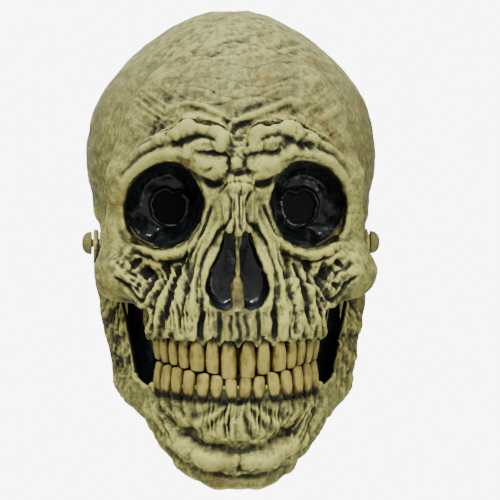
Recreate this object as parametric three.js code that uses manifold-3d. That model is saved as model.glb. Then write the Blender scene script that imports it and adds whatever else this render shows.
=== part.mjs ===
// A latex overhead skull mask with a moving jaw, in millimetres.
// +Z is up and the face looks along -Y. The origin is midway between the two jaw pivots, a little
// below the wearer's ears. "left" is the wearer's left, at +X.
//
// The skull casting is a hollow latex skin that goes over the whole head. The jaw is a second
// casting that hugs its sides and turns on a post at each ear, pulled shut by two elastics and
// moved by the wearer's chin. Black cups line the eye sockets and the nose, foam pads seat the
// mask, and a strap closes the slit at the nape.
import * as THREE from "three";
import { mergeVertices } from "three/addons/utils/BufferGeometryUtils.js";
import Module from "manifold-3d";

const wasm = await Module();
wasm.setup();

// ---------------------------------------------------------------------------------------------
// Sizes
// ---------------------------------------------------------------------------------------------

const GAP = 0.4; // air left between two pieces that touch
const WALL = 3.5; // latex of the skull casting

// Ellipsoids of the head: centre and radii.
const CRANIUM = { centre: [0, 6, 58], radii: [95, 107, 94] };
const FOREHEAD = { centre: [0, -32, 58], radii: [80, 88, 86] };
const OCCIPUT = { centre: [0, 22, 12], radii: [81.5, 90, 78] };
const CHEEKBONE = { centre: [69, -74, -12], radii: [20.5, 23, 19] };
const UPPER_JAW = { centre: [28, -92, -32], radii: [33, 30, 32] };

// Upright oval columns: centre, radii, and the heights that they span.
const NECK = { centre: [0, 24], radii: [79, 74], low: -130, high: -10, round: 10 };
const GUM = { centre: [0, -74], radii: [54, 56], low: -74, high: -26, round: 6 };

// Ridges: chains of points with the ridge's radius at each.
const BROW = [
  [13, -115, 62, 9],
  [32, -114, 70, 9],
  [54, -102, 63, 8.5],
  [71, -82, 48, 8],
  [74, -74, 24, 7.5],
  [72, -76, 2, 8],
];
const SOCKET_FLOOR = [
  [68, -86, -2, 7],
  [46, -101, 2, 7],
  [27, -109, 10, 6],
];
const CHEEK_ARCH = [
  [76, -56, 2, 7],
  [81, -22, 21, 7],
  [81, 12, 24, 6],
];
const NOSE_BRIDGE = [
  [0, -112, 56, 12],
  [0, -124, 22, 8],
];
const NOSE_SIDE = [
  [14, -109, 46, 8],
  [20, -115, 0, 8],
  [25, -117, -26, 8],
];
const BLEND = 12; // how far the forms flow into each other

// Where the skull casting is open.
const GUM_LINE = -50; // lower edge of the upper jaw's skin
const CHEEK_EDGE = { x: 55.5, z: -32 }; // the skin stops here beside the mouth
const NECK_FRONT = -12; // front edge of the neck skin, behind the jaw
const NECK_RIM = { z: -98, rise: 0.24 }; // lower rim under the ears, and its rise towards the nape
const SLIT = { width: 2, top: -8 }; // nape slit

// Eye sockets: outline of the hole, seen from the front.
const SOCKET_OUTLINE = [
  [21, 35],
  [25, 47],
  [32.5, 56],
  [44, 57.5],
  [56, 52],
  [65.5, 42],
  [68.5, 29],
  [65.5, 16],
  [56.5, 8],
  [44.5, 6],
  [32.5, 10],
  [24, 20],
];
const SOCKET_CUP = { wall: 1.6, rim: -125, floor: -64, taper: 0.62, turn: 6, middle: [44, 32] };
const VISION_HOLE = { x: 40, z: 28.5, radius: 10 };
const EYE_MESH = { radius: 13, thickness: 1 };

// Nose: outline of one side of the opening, which leaves the septum standing.
const NOSE_TOP = 19;
const NOSE_FLOOR = -28;
const NOSE_WIDTH = 18.5; // half, at its widest
const SEPTUM = 3.6;
// Down one side of the opening: shares of the half width, and heights above the floor.
const NOSE_SIDES = [
  [0.62, -1],
  [0.93, 6],
  [1, 14],
  [0.84, 25],
  [0.5, 38],
];
const NOSE_PEAK = 0.24; // share of the half width at the top
const NOSE_CUP = { wall: 1.6, rim: -113, depth: 10, breathing: 3 };

// Teeth: fourteen along each oval arch.
const TEETH = 14;
const ARCH = { centre: -74, radii: [54, 56], band: 3.5, sweep: 84, filled: 0.98 };
const BITE = -70.5; // where the two rows meet
const BITE_GAP = 0.8;
const TOOTH_DEPTH = 6.5;
const TOOTH_NECK = 0.3; // a tooth's radius at its root, as a share of its width
const UPPER_TOOTH = { width: 10.4, root: GUM_LINE - GAP };
const LOWER_TOOTH = { width: 9.8, root: -83.4 };
const GUM_BAND = { behindTooth: 1, behindSkin: 1.5, offBite: 3, crossings: 28 };

// Jaw casting: its plan from the chin round to the rear edge, and its lower and upper edges at the
// same stations, along the wearer's left.
const JAW_WALL = 3.5;
const JAW_PLAN = [
  [0, -129],
  [20, -125],
  [38, -111],
  [53, -91],
  [64, -74],
  [72, -60],
  [76, -48],
  [77, -36],
];
const JAW_LOWER = [-141, -138, -124, -110, -101, -95, -90, -84];
const JAW_UPPER = [-84, -84, -84, -86, -78, -14, 7, 7];
const JAW_TAB = { shift: 44, from: -50, spreadFrom: -88, to: -4, rear: [0.55, 0.9], radius: 8.5, swing: 12 };
// How far the lower edge turns in, at the chin and at the sides, and over what height.
const CHIN_TUCK = { chin: 14, sides: 4, over: [0.1, 0.45], height: 26 };

// Jaw pivot.
const POST = { radius: 2.6, capRadius: 7.5, capHeight: 6.5, nutRadius: 6.5, nutHeight: 4 };
const POST_HOLE = POST.radius + GAP;
const WASHER = { radius: 7.5, thickness: 1 };
const BOSS = { radius: 10.5, rim: 0.5 }; // flat boss in the skull casting at each pivot

// Inside of the jaw.
const LINER = { thickness: 1.2, low: -88.5, middleTop: -53, wingTop: -33.5, turn: [4, 10], wing: [68, -52], rise: [1, 6] };
const CHIN_PAD = { thickness: 9, rise: 12, height: 18, reach: 0.3, clear: 2 };
const CHIN_STRAP = { thickness: 1.5, width: 12, z: -101, reach: 0.8, clear: 12 };
const ELASTIC = { width: 7, thickness: 1.2, x: 58, y: -46, low: -86, high: -40 };

// Foam pads: where each sits, as ranges of azimuth from the front and of elevation, in degrees.
const PAD = 10; // thickness
const PAD_CLEAR = 2; // from the skin, which is faceted
const PADS = {
  forehead_pad: { azimuth: [-34, 34], elevation: [22, 46] },
  left_temple_pad: { azimuth: [72, 112], elevation: [2, 34] },
  right_temple_pad: { azimuth: [248, 288], elevation: [2, 34] },
  nape_pad: { azimuth: [150, 210], elevation: [-16, 14] },
};
const CROWN_PAD_RADIUS = 42;

// Nape closure: layers outwards from the skin.
const LAYER = 1.3; // hook tape, loop tape and webbing
const STRAP = { width: 24, z: -44, fold: -15, anchor: -31, tip: 33 };
const LOOP_TAPE = [8, 30];
const SLIT_TAPE = { from: 3, to: 15, low: -62, high: -12, thickness: 1 };

// ---------------------------------------------------------------------------------------------
// Solids from geometries
// ---------------------------------------------------------------------------------------------

// The manifold-3d solid of a closed geometry.
function solidOf(geometry) {
  const bare = geometry.clone();
  bare.deleteAttribute("normal");
  bare.deleteAttribute("uv");
  const merged = mergeVertices(bare, 1e-4);
  return new wasm.Manifold(
    new wasm.Mesh({
      numProp: 3,
      vertProperties: merged.attributes.position.array,
      triVerts: new Uint32Array(merged.index.array),
    }),
  );
}

// The three.js geometry of a manifold-3d solid.
function geometryOf(solid) {
  const mesh = solid.getMesh();
  return new THREE.BufferGeometry()
    .setAttribute("position", new THREE.BufferAttribute(mesh.vertProperties, 3))
    .setIndex(new THREE.BufferAttribute(mesh.triVerts, 1));
}

// A box whose vertices are moved by place(u, v, w), each from 0 to 1: a closed sheet, pad or band.
function sheet(place, across, along, through = 1) {
  const box = new THREE.BoxGeometry(1, 1, 1, across, along, through);
  const position = box.attributes.position;
  for (let i = 0; i < position.count; i++) {
    const at = place(position.getX(i) + 0.5, position.getY(i) + 0.5, position.getZ(i) + 0.5);
    position.setXYZ(i, ...at);
  }
  const made = solidOf(box);
  if (made.volume() > 0) return made;
  const index = box.index.array;
  for (let i = 0; i < index.length; i += 3) [index[i + 1], index[i + 2]] = [index[i + 2], index[i + 1]];
  return solidOf(box);
}

const block = (low, high) =>
  solidOf(
    new THREE.BoxGeometry(high[0] - low[0], high[1] - low[1], high[2] - low[2]).translate(
      (low[0] + high[0]) / 2,
      (low[1] + high[1]) / 2,
      (low[2] + high[2]) / 2,
    ),
  );

// A round bar along X between two places.
const crossBar = (radius, from, to, y = 0, z = 0) =>
  solidOf(
    new THREE.CylinderGeometry(radius, radius, Math.abs(to - from), 16)
      .rotateZ(Math.PI / 2)
      .translate((from + to) / 2, y, z),
  );

// An outline seen from the front, carried from y = front to y = back.
function frontPrism(outline, front, back) {
  const made = new THREE.ExtrudeGeometry(outline, {
    depth: back - front,
    bevelEnabled: false,
    curveSegments: 3,
  });
  return solidOf(made.rotateX(Math.PI / 2).translate(0, back, 0));
}

const mirrorX = (solid) => solid.mirror([1, 0, 0]);
const onSide = (solid, side) => (side > 0 ? solid : mirrorX(solid));

// ---------------------------------------------------------------------------------------------
// The head's surface, as a distance field of blended forms
// ---------------------------------------------------------------------------------------------

function toEllipsoid({ centre, radii }, x, y, z) {
  const a = (x - centre[0]) / radii[0];
  const b = (y - centre[1]) / radii[1];
  const c = (z - centre[2]) / radii[2];
  const near = Math.hypot(a, b, c);
  const slope = Math.hypot(a / radii[0], b / radii[1], c / radii[2]);
  return slope < 1e-9 ? -Math.min(...radii) : (near * (near - 1)) / slope;
}

function toColumn({ centre, radii, low, high, round }, x, y, z) {
  const a = (x - centre[0]) / (radii[0] - round);
  const b = (y - centre[1]) / (radii[1] - round);
  const near = Math.hypot(a, b);
  const slope = Math.hypot(a / (radii[0] - round), b / (radii[1] - round));
  const side = slope < 1e-9 ? -radii[0] : (near * (near - 1)) / slope;
  const ends = Math.max(low + round - z, z - high + round);
  return Math.hypot(Math.max(side, 0), Math.max(ends, 0)) + Math.min(Math.max(side, ends), 0) - round;
}

function toRidge(chain, x, y, z) {
  let best = Infinity;
  for (let i = 0; i + 1 < chain.length; i++) {
    const [ax, ay, az, ar] = chain[i];
    const [bx, by, bz, br] = chain[i + 1];
    const [dx, dy, dz] = [bx - ax, by - ay, bz - az];
    const along = ((x - ax) * dx + (y - ay) * dy + (z - az) * dz) / (dx * dx + dy * dy + dz * dz);
    const t = Math.min(Math.max(along, 0), 1);
    const away = Math.hypot(x - ax - t * dx, y - ay - t * dy, z - az - t * dz);
    best = Math.min(best, away - ar - t * (br - ar));
  }
  return best;
}

function flow(a, b) {
  const h = Math.max(BLEND - Math.abs(a - b), 0) / BLEND;
  return Math.min(a, b) - (h * h * BLEND) / 4;
}

// Distance from the head's outer surface, below 0 inside it.
function headField(px, y, z) {
  const x = Math.abs(px);
  const forms = [
    toEllipsoid(FOREHEAD, x, y, z),
    toEllipsoid(OCCIPUT, x, y, z),
    toEllipsoid(CHEEKBONE, x, y, z),
    toEllipsoid(UPPER_JAW, x, y, z),
    toColumn(NECK, x, y, z),
    toColumn(GUM, x, y, z),
    toRidge(BROW, x, y, z),
    toRidge(SOCKET_FLOOR, x, y, z),
    toRidge(CHEEK_ARCH, x, y, z),
    toRidge(NOSE_BRIDGE, x, y, z),
    toRidge(NOSE_SIDE, x, y, z),
  ];
  return forms.reduce(flow, toEllipsoid(CRANIUM, x, y, z));
}

// How far from a start the surface lies along a direction. depth sinks it below the outer skin,
// and a negative depth lifts it off the skin.
function reach(start, direction, depth, far = 260) {
  const field = (r) =>
    headField(start[0] + r * direction[0], start[1] + r * direction[1], start[2] + r * direction[2]) + depth;
  const STEP = 2;
  let out = far;
  while (out > STEP && field(out) > 0) out -= STEP;
  let low = out;
  let high = out + STEP;
  for (let i = 0; i < 14; i++) {
    const middle = (low + high) / 2;
    if (field(middle) > 0) high = middle;
    else low = middle;
  }
  return low;
}

// The head's half width at a place on its side, at a depth.
const sideOfHead = (y, z, depth) => reach([0, y, z], [1, 0, 0], depth, 140);

// The head's half widths on a square patch round the pivot.
function sidesNearPivot(size, depth) {
  const steps = [-1, -0.5, 0, 0.5, 1].map((s) => s * size);
  return steps.flatMap((y) => steps.map((z) => sideOfHead(y, z, depth)));
}

const HEAD_CENTRE = [0, -5, 30];

// A point on the head's surface. azimuth turns from the front towards +X.
function onHead(azimuth, elevation, depth, lift = 0) {
  const towards = (a, e) => [Math.sin(a) * Math.cos(e), -Math.cos(a) * Math.cos(e), Math.sin(e)];
  const near = [
    [azimuth, elevation],
    [azimuth - SOFTEN, elevation],
    [azimuth + SOFTEN, elevation],
    [azimuth, elevation - SOFTEN],
    [azimuth, elevation + SOFTEN],
  ];
  const sum = near.reduce((total, [a, e]) => total + reach(HEAD_CENTRE, towards(a, e), depth), 0);
  const r = sum / near.length + lift;
  return HEAD_CENTRE.map((c, i) => c + r * towards(azimuth, elevation)[i]);
}

// ---------------------------------------------------------------------------------------------
// Skull casting
// ---------------------------------------------------------------------------------------------

const FRONT = -220; // cutters run from here
const FACETS_AROUND = 34;
const FACETS_UP = 26;
const SOFTEN = 0.05; // radians over which the head's surface is averaged
const FRONT_CROWDING = 0.35; // how much closer the facets are at the face than at the back

// The closed surface of the head at a depth, as a sphere whose vertices are moved onto it.
function headSolid(depth) {
  const ball = new THREE.SphereGeometry(1, FACETS_AROUND, FACETS_UP).rotateX(Math.PI / 2);
  const position = ball.attributes.position;
  for (let i = 0; i < position.count; i++) {
    const elevation = Math.asin(THREE.MathUtils.clamp(position.getZ(i), -1, 1));
    const turn = Math.atan2(position.getX(i), -position.getY(i));
    const azimuth = turn - FRONT_CROWDING * Math.sin(turn);
    position.setXYZ(i, ...onHead(azimuth, elevation, depth));
  }
  const merged = mergeVertices(ball, 1e-4);
  return solidOf(merged);
}

// A smooth closed outline through points.
function smoothOutline(points, grow = 0) {
  const middle = points.reduce((s, p) => [s[0] + p[0] / points.length, s[1] + p[1] / points.length], [0, 0]);
  const moved = points.map(([x, z]) => {
    const [dx, dz] = [x - middle[0], z - middle[1]];
    const away = Math.hypot(dx, dz);
    return new THREE.Vector2(x + (dx / away) * grow, z + (dz / away) * grow);
  });
  const curve = new THREE.CatmullRomCurve3(
    moved.map((p) => new THREE.Vector3(p.x, p.y, 0)),
    true,
  );
  return curve.getPoints(2 * points.length).map((p) => new THREE.Vector2(p.x, p.y)).slice(0, -1);
}

const socketOutline = (grow) => new THREE.Shape(smoothOutline(SOCKET_OUTLINE, grow));

// One half of the pear-shaped nose opening, beside the septum.
function noseHalf(grow) {
  const edge = SEPTUM / 2 - grow;
  const sides = NOSE_SIDES.map(([share, rise]) => [NOSE_WIDTH * share + grow, NOSE_FLOOR + rise - (rise < 0 ? grow : 0)]);
  const outline = [
    [edge, NOSE_TOP + grow],
    [edge, NOSE_FLOOR - grow],
    ...sides,
    [NOSE_WIDTH * NOSE_PEAK + grow, NOSE_TOP + grow],
  ];
  return new THREE.Shape(outline.map(([x, z]) => new THREE.Vector2(x, z)).reverse());
}

// Everything under the neck's sloping rim, behind the jaw.
function belowNeckRim() {
  const reachBack = 160;
  const rimAt = (y) => NECK_RIM.z + NECK_RIM.rise * (y - NECK_FRONT);
  return sheet(
    (u, v, w) => [
      THREE.MathUtils.lerp(-120, 120, u),
      THREE.MathUtils.lerp(FRONT, reachBack, v),
      w > 0.5 ? rimAt(THREE.MathUtils.lerp(FRONT, reachBack, v)) : -260,
    ],
    1,
    1,
  );
}

// What fits inside the skin.
const insideSkin = headSolid(WALL + GAP);
const withinSkin = (solid) => largest(solid.intersect(insideSkin));

// Flat faces of the boss at the pivot, as distances from the mask's middle.
const BOSS_OUT = Math.max(...sidesNearPivot(BOSS.radius, 0)) + BOSS.rim;
const BOSS_IN = Math.min(...sidesNearPivot(BOSS.radius, WALL)) - BOSS.rim;

function skullSkin() {
  const shell = headSolid(0)
    .subtract(headSolid(WALL))
    .add(crossBar(BOSS.radius, BOSS_IN, BOSS_OUT))
    .add(crossBar(BOSS.radius, -BOSS_IN, -BOSS_OUT));
  const mouth = block([-130, FRONT, -260], [130, NECK_FRONT, GUM_LINE]);
  const cheek = block([CHEEK_EDGE.x, FRONT, -260], [130, NECK_FRONT, CHEEK_EDGE.z]);
  const slit = block([-SLIT.width / 2, NECK.centre[1], -260], [SLIT.width / 2, 160, SLIT.top]);
  const socket = frontPrism(socketOutline(0), FRONT, HEAD_CENTRE[1] - 40);
  const nostril = frontPrism(noseHalf(0), FRONT, HEAD_CENTRE[1] - 40);
  const holes = [
    mouth,
    cheek,
    mirrorX(cheek),
    belowNeckRim(),
    slit,
    socket,
    mirrorX(socket),
    nostril,
    mirrorX(nostril),
    crossBar(POST_HOLE, -130, 130),
  ];
  const cut = holes.reduce((body, hole) => body.subtract(hole), shell);
  return largest(cut);
}

// The largest of the separate bodies of a solid, without the slivers that a cut leaves.
function largest(solid) {
  const bodies = solid.decompose();
  return bodies.reduce((best, body) => (body.volume() > best.volume() ? body : best), bodies[0]);
}

// ---------------------------------------------------------------------------------------------
// Eye sockets and nose
// ---------------------------------------------------------------------------------------------

// A black cup inside the socket's hole, narrowing to a floor that has the vision hole.
function socketCup() {
  const { wall, rim, floor, taper, turn, middle } = SOCKET_CUP;
  const funnel = (grow, front, back) => {
    const outline = smoothOutline(SOCKET_OUTLINE, grow);
    const ringAt = (share) => {
      const size = THREE.MathUtils.lerp(1, taper, share ** turn);
      const y = THREE.MathUtils.lerp(front, back, share);
      return outline.map((p) => [middle[0] + (p.x - middle[0]) * size, y, middle[1] + (p.y - middle[1]) * size]);
    };
    return loft([0, 0.7, 0.86, 0.94, 1].map(ringAt), outline.length);
  };
  const hole = solidOf(
    new THREE.CylinderGeometry(VISION_HOLE.radius, VISION_HOLE.radius, 20, 16).translate(
      VISION_HOLE.x,
      floor,
      VISION_HOLE.z,
    ),
  );
  const shell = funnel(-GAP, rim, floor).subtract(funnel(-GAP - wall, rim - wall, floor - wall));
  return withinSkin(shell.subtract(hole));
}

// A closed body through rings of equal size, capped at both ends.
function loft(rings, steps) {
  const points = rings.flat();
  const centreOf = (ring) => [0, 1, 2].map((i) => ring.reduce((s, p) => s + p[i], 0) / ring.length);
  const first = points.length;
  points.push(centreOf(rings[0]), centreOf(rings[rings.length - 1]));
  const faces = [];
  for (let r = 0; r + 1 < rings.length; r++) {
    for (let i = 0; i < steps; i++) {
      const [a, b] = [r * steps + i, r * steps + ((i + 1) % steps)];
      faces.push(a, b, a + steps, b, b + steps, a + steps);
    }
  }
  const last = (rings.length - 1) * steps;
  for (let i = 0; i < steps; i++) {
    const next = (i + 1) % steps;
    faces.push(first, next, i, first + 1, last + i, last + next);
  }
  const build = (triangles) =>
    new THREE.BufferGeometry()
      .setAttribute("position", new THREE.Float32BufferAttribute(points.flat(), 3))
      .setIndex(triangles);
  const made = solidOf(build(faces));
  if (made.volume() > 0) return made;
  for (let i = 0; i < faces.length; i += 3) [faces[i + 1], faces[i + 2]] = [faces[i + 2], faces[i + 1]];
  return solidOf(build(faces));
}

function eyeMesh() {
  const y = SOCKET_CUP.floor + GAP + EYE_MESH.thickness / 2;
  const disc = new THREE.CylinderGeometry(EYE_MESH.radius, EYE_MESH.radius, EYE_MESH.thickness, 16);
  return solidOf(disc.translate(VISION_HOLE.x, y, VISION_HOLE.z));
}

// A black box behind the nose opening, with two breathing holes in its back.
function noseCup() {
  const { wall, rim, depth, breathing } = NOSE_CUP;
  const whole = (grow, front, back) => {
    const half = frontPrism(noseHalf(grow + SEPTUM), front, back);
    return half.add(mirrorX(half));
  };
  const back = rim + depth;
  const shell = whole(wall, rim, back).subtract(whole(0, rim - 5, back - wall));
  const hole = solidOf(
    new THREE.CylinderGeometry(breathing, breathing, depth, 16).translate(NOSE_WIDTH / 2, back, NOSE_FLOOR + 10),
  );
  return withinSkin(shell.subtract(hole).subtract(mirrorX(hole)));
}

// ---------------------------------------------------------------------------------------------
// Teeth
// ---------------------------------------------------------------------------------------------

// How far behind the arch's line the gum band stands: it clears the skin and meets the teeth.
const BAND_FRONT = Math.max(TOOTH_DEPTH - GUM_BAND.behindTooth, WALL + GUM_BAND.behindSkin);

// A point on the tooth arch: angle 0 at the front, and grow outwards from its line.
const onArch = (angle, grow) => [
  (ARCH.radii[0] + grow) * Math.sin(angle),
  ARCH.centre - (ARCH.radii[1] + grow) * Math.cos(angle),
];

// A row of teeth on the gum band behind them. rise is +1 for the upper row, whose roots point up.
function toothRow(tooth, rise) {
  const sweep = THREE.MathUtils.degToRad(ARCH.sweep);
  const edge = BITE + (rise * BITE_GAP) / 2;
  const height = Math.abs(tooth.root - edge);
  const middle = (tooth.root + edge) / 2;
  let row = sheet(
    (u, v, w) => {
      const [x, y] = onArch((2 * u - 1) * sweep, -BAND_FRONT - ARCH.band * (1 - w));
      return [x, y, edge + rise * THREE.MathUtils.lerp(GUM_BAND.offBite, height, v)];
    },
    GUM_BAND.crossings,
    1,
  );
  for (let i = 0; i < TEETH; i++) {
    const angle = ((i + 0.5) / TEETH - 0.5) * 2 * sweep * ARCH.filled;
    const [x, y] = onArch(angle, -TOOTH_DEPTH / 2 - GAP);
    const [neck, crown] = [tooth.width * TOOTH_NECK, tooth.width / 2];
    const peg = new THREE.CylinderGeometry(rise > 0 ? neck : crown, rise > 0 ? crown : neck, height, 6)
      .rotateX(Math.PI / 2)
      .scale(1, TOOTH_DEPTH / tooth.width, 1);
    row = row.add(solidOf(peg.rotateZ(angle).translate(x, y, middle)));
  }
  return row;
}

const upperTeeth = () => toothRow(UPPER_TOOTH, 1);
const lowerTeeth = () => toothRow(LOWER_TOOTH, -1);

// ---------------------------------------------------------------------------------------------
// Jaw
// ---------------------------------------------------------------------------------------------

// Reads a list of values, evenly spaced over 0 to 1, as a smooth curve.
function along(values, t) {
  const at = THREE.MathUtils.clamp(t, 0, 1) * (values.length - 1);
  const i = Math.min(Math.floor(at), values.length - 2);
  return THREE.MathUtils.lerp(values[i], values[i + 1], at - i);
}

const jawCurve = new THREE.CatmullRomCurve3(JAW_PLAN.map(([x, y]) => new THREE.Vector3(x, y, 0)));

// A point on a plan curve, moved inwards across the curve.
function onPlan(curve, t, inwards) {
  const at = curve.getPoint(t);
  const way = curve.getTangent(t);
  return [at.x - way.y * inwards, at.y + way.x * inwards];
}

// The jaw's flat inner face at the pivot, clear of the washer and of the skin round it.
const TAB_FACE = Math.max(
  BOSS_OUT + WASHER.thickness + 2 * GAP,
  Math.max(...sidesNearPivot(JAW_TAB.swing, 0)) + GAP,
);

// Where the jaw's skin lies: t from the chin at 0 to the rear edge at 1, at height z, sunk by depth.
function onJaw(t, z, depth) {
  const [x, y] = onPlan(jawCurve, t, depth);
  const low = along(JAW_LOWER, t);
  const rear = THREE.MathUtils.smoothstep(t, ...JAW_TAB.rear);
  const shift = JAW_TAB.shift * rear * THREE.MathUtils.smoothstep(z, JAW_TAB.from, JAW_TAB.to);
  const tuck = 1 - THREE.MathUtils.smoothstep(z, low, low + CHIN_TUCK.height);
  const room = TAB_FACE + GAP + JAW_WALL - JAW_PLAN[JAW_PLAN.length - 1][0];
  const spread = room * rear * THREE.MathUtils.smoothstep(z, JAW_TAB.spreadFrom, JAW_TAB.to);
  const turnIn = THREE.MathUtils.lerp(CHIN_TUCK.chin, CHIN_TUCK.sides, THREE.MathUtils.smoothstep(t, ...CHIN_TUCK.over));
  const pull = turnIn * tuck * tuck * (1 - rear);
  const inward = Math.hypot(x, y - ARCH.centre) || 1;
  return [
    x + spread - (pull * x) / inward,
    y + shift - (pull * (y - ARCH.centre)) / inward,
  ];
}

// A band that follows the jaw's inside or outside, from one side of the head to the other.
function jawBand({ reach: span, outer, inner, low, high, across, rows }) {
  return sheet(
    (u, v, w) => {
      const side = 2 * u - 1;
      const t = Math.abs(side) * span;
      const z = THREE.MathUtils.lerp(low(t), high(t), v);
      const [x, y] = onJaw(t, z, THREE.MathUtils.lerp(outer, inner, w));
      return [Math.sign(side) * x, y, z];
    },
    across,
    rows,
  );
}

function jawSkin() {
  const skin = jawBand({
    reach: 1,
    outer: 0,
    inner: JAW_WALL,
    low: (t) => along(JAW_LOWER, t),
    high: (t) => along(JAW_UPPER, t),
    across: 40,
    rows: 9,
  });
  const discs = (radius, from, to) => crossBar(radius, from, to).add(crossBar(radius, -from, -to));
  return skin
    .add(discs(JAW_TAB.radius, TAB_FACE, TAB_FACE + JAW_WALL + GAP))
    .subtract(discs(BOSS.radius + 2 * GAP, BOSS_IN, TAB_FACE))
    .subtract(crossBar(POST_HOLE, -130, 130));
}

const chinPad = () =>
  jawBand({
    reach: CHIN_PAD.reach,
    outer: JAW_WALL + CHIN_PAD.clear,
    inner: JAW_WALL + CHIN_PAD.clear + CHIN_PAD.thickness,
    low: (t) => along(JAW_LOWER, t) + CHIN_PAD.rise,
    high: (t) => along(JAW_LOWER, t) + CHIN_PAD.rise + CHIN_PAD.height,
    across: 16,
    rows: 3,
  });

const chinStrap = () =>
  sheet(
    (u, v, w) => {
      const side = 2 * u - 1;
      const depth = JAW_WALL + CHIN_STRAP.clear + w * CHIN_STRAP.thickness;
      const [x, y] = onPlan(jawCurve, Math.abs(side) * CHIN_STRAP.reach, depth);
      return [Math.sign(side) * x, y, CHIN_STRAP.z + v * CHIN_STRAP.width];
    },
    32,
    1,
  );

// The black sheet behind the teeth, and across the gap beside the mouth out to the jaw's branches.
function mouthLiner() {
  const behindTeeth = -BAND_FRONT - ARCH.band - TOOTH_DEPTH / 2 - GAP;
  const sweep = THREE.MathUtils.degToRad(ARCH.sweep);
  const arc = [0, 0.25, 0.5, 0.75, 1].map((share) => onArch(share * sweep, behindTeeth));
  const plan = [...arc, [arc[4][0] + LINER.turn[0], arc[4][1] + LINER.turn[1]], LINER.wing];
  const curve = new THREE.CatmullRomCurve3(plan.map(([x, y]) => new THREE.Vector3(x, y, 0)));
  return sheet(
    (u, v, w) => {
      const side = 2 * u - 1;
      const t = Math.abs(side);
      const [x, y] = onPlan(curve, t, w * LINER.thickness);
      const beyondSkin = THREE.MathUtils.smoothstep(x, CHEEK_EDGE.x + LINER.rise[0], CHEEK_EDGE.x + LINER.rise[1]);
      const top = THREE.MathUtils.lerp(LINER.middleTop, LINER.wingTop, beyondSkin);
      return [Math.sign(side) * x, y, THREE.MathUtils.lerp(LINER.low, top, v)];
    },
    36,
    2,
  );
}

// ---------------------------------------------------------------------------------------------
// Jaw pivots and elastics
// ---------------------------------------------------------------------------------------------

const bored = (solid) => solid.subtract(crossBar(POST_HOLE, 0, 130));

const pivotWasher = () =>
  bored(crossBar(WASHER.radius, BOSS_OUT + GAP, BOSS_OUT + GAP + WASHER.thickness));

// The post with its domed cap outside the jaw.
function pivotCap() {
  const seat = TAB_FACE + JAW_WALL + 3 * GAP;
  const dome = new THREE.SphereGeometry(1, 14, 8).scale(POST.capHeight, POST.capRadius, POST.capRadius);
  const outside = block([seat, -30, -30], [seat + 30, 30, 30]);
  const shaft = crossBar(POST.radius, BOSS_IN - GAP - POST.nutHeight, seat + POST.capHeight / 2);
  return solidOf(dome.translate(seat, 0, 0)).intersect(outside).add(shaft);
}

const pivotNut = () => bored(crossBar(POST.nutRadius, BOSS_IN - GAP - POST.nutHeight, BOSS_IN - GAP));

const jawElastic = () =>
  block(
    [ELASTIC.x, ELASTIC.y, ELASTIC.low],
    [ELASTIC.x + ELASTIC.thickness, ELASTIC.y + ELASTIC.width, ELASTIC.high],
  );

// ---------------------------------------------------------------------------------------------
// Foam pads
// ---------------------------------------------------------------------------------------------

// A pad that follows the inside of the skin over a patch of it.
function foamPad({ azimuth, elevation }) {
  const rad = THREE.MathUtils.degToRad;
  return sheet(
    (u, v, w) =>
      onHead(
        rad(THREE.MathUtils.lerp(azimuth[0], azimuth[1], u)),
        rad(THREE.MathUtils.lerp(elevation[0], elevation[1], v)),
        WALL + PAD_CLEAR,
        -PAD * w,
      ),
    7,
    4,
  );
}

// The round pad under the crown.
function crownPad() {
  const size = CROWN_PAD_RADIUS;
  return sheet(
    (u, v, w) => {
      const [a, b] = [2 * u - 1, 2 * v - 1];
      const x = size * a * Math.sqrt(1 - (b * b) / 2);
      const y = size * b * Math.sqrt(1 - (a * a) / 2);
      const top = reach([x, y, HEAD_CENTRE[2]], [0, 0, 1], WALL + PAD_CLEAR);
      return [x, y, HEAD_CENTRE[2] + top - PAD * w];
    },
    8,
    8,
  );
}

// ---------------------------------------------------------------------------------------------
// Nape closure
// ---------------------------------------------------------------------------------------------

// A band on the nape from one place across to another, between two heights off the skin.
function napeBand(from, to, low, high, inner, outer, across, rows) {
  return sheet(
    (u, v, w) => {
      const x = THREE.MathUtils.lerp(from, to, u);
      const z = THREE.MathUtils.lerp(low, high, v);
      const skin = reach([x, 0, z], [0, 1, 0], 0, 140);
      return [x, skin + THREE.MathUtils.lerp(inner, outer, w), z];
    },
    across,
    rows,
  );
}

const layer = (n) => 3 * GAP + n * (LAYER + GAP); // inner face of the nth layer off the skin
const strapBand = (from, to, inner, outer, narrow = 0) =>
  napeBand(from, to, STRAP.z - STRAP.width / 2 + narrow, STRAP.z + STRAP.width / 2 - narrow, inner, outer, 8, 2);

const strapAnchor = () => strapBand(STRAP.anchor, STRAP.fold, layer(0), layer(2) + LAYER);
const closureStrap = () => strapBand(STRAP.fold + GAP, STRAP.tip, layer(2), layer(2) + LAYER);
const hookTape = () => strapBand(LOOP_TAPE[0], LOOP_TAPE[1], layer(1), layer(1) + LAYER, 2);
const loopTape = () => strapBand(LOOP_TAPE[0], LOOP_TAPE[1], layer(0), layer(0) + LAYER, 1);

// Gauze inside the skin beside the slit.
const slitTape = () =>
  withinSkin(
    napeBand(
      SLIT_TAPE.from,
      SLIT_TAPE.to,
      SLIT_TAPE.low,
      SLIT_TAPE.high,
      -WALL - GAP - SLIT_TAPE.thickness,
      -WALL - GAP,
      3,
      6,
    ),
  );

// ---------------------------------------------------------------------------------------------
// The object
// ---------------------------------------------------------------------------------------------

const plain = (color, roughness, metalness = 0) =>
  new THREE.MeshStandardMaterial({ color, roughness, metalness });

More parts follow.
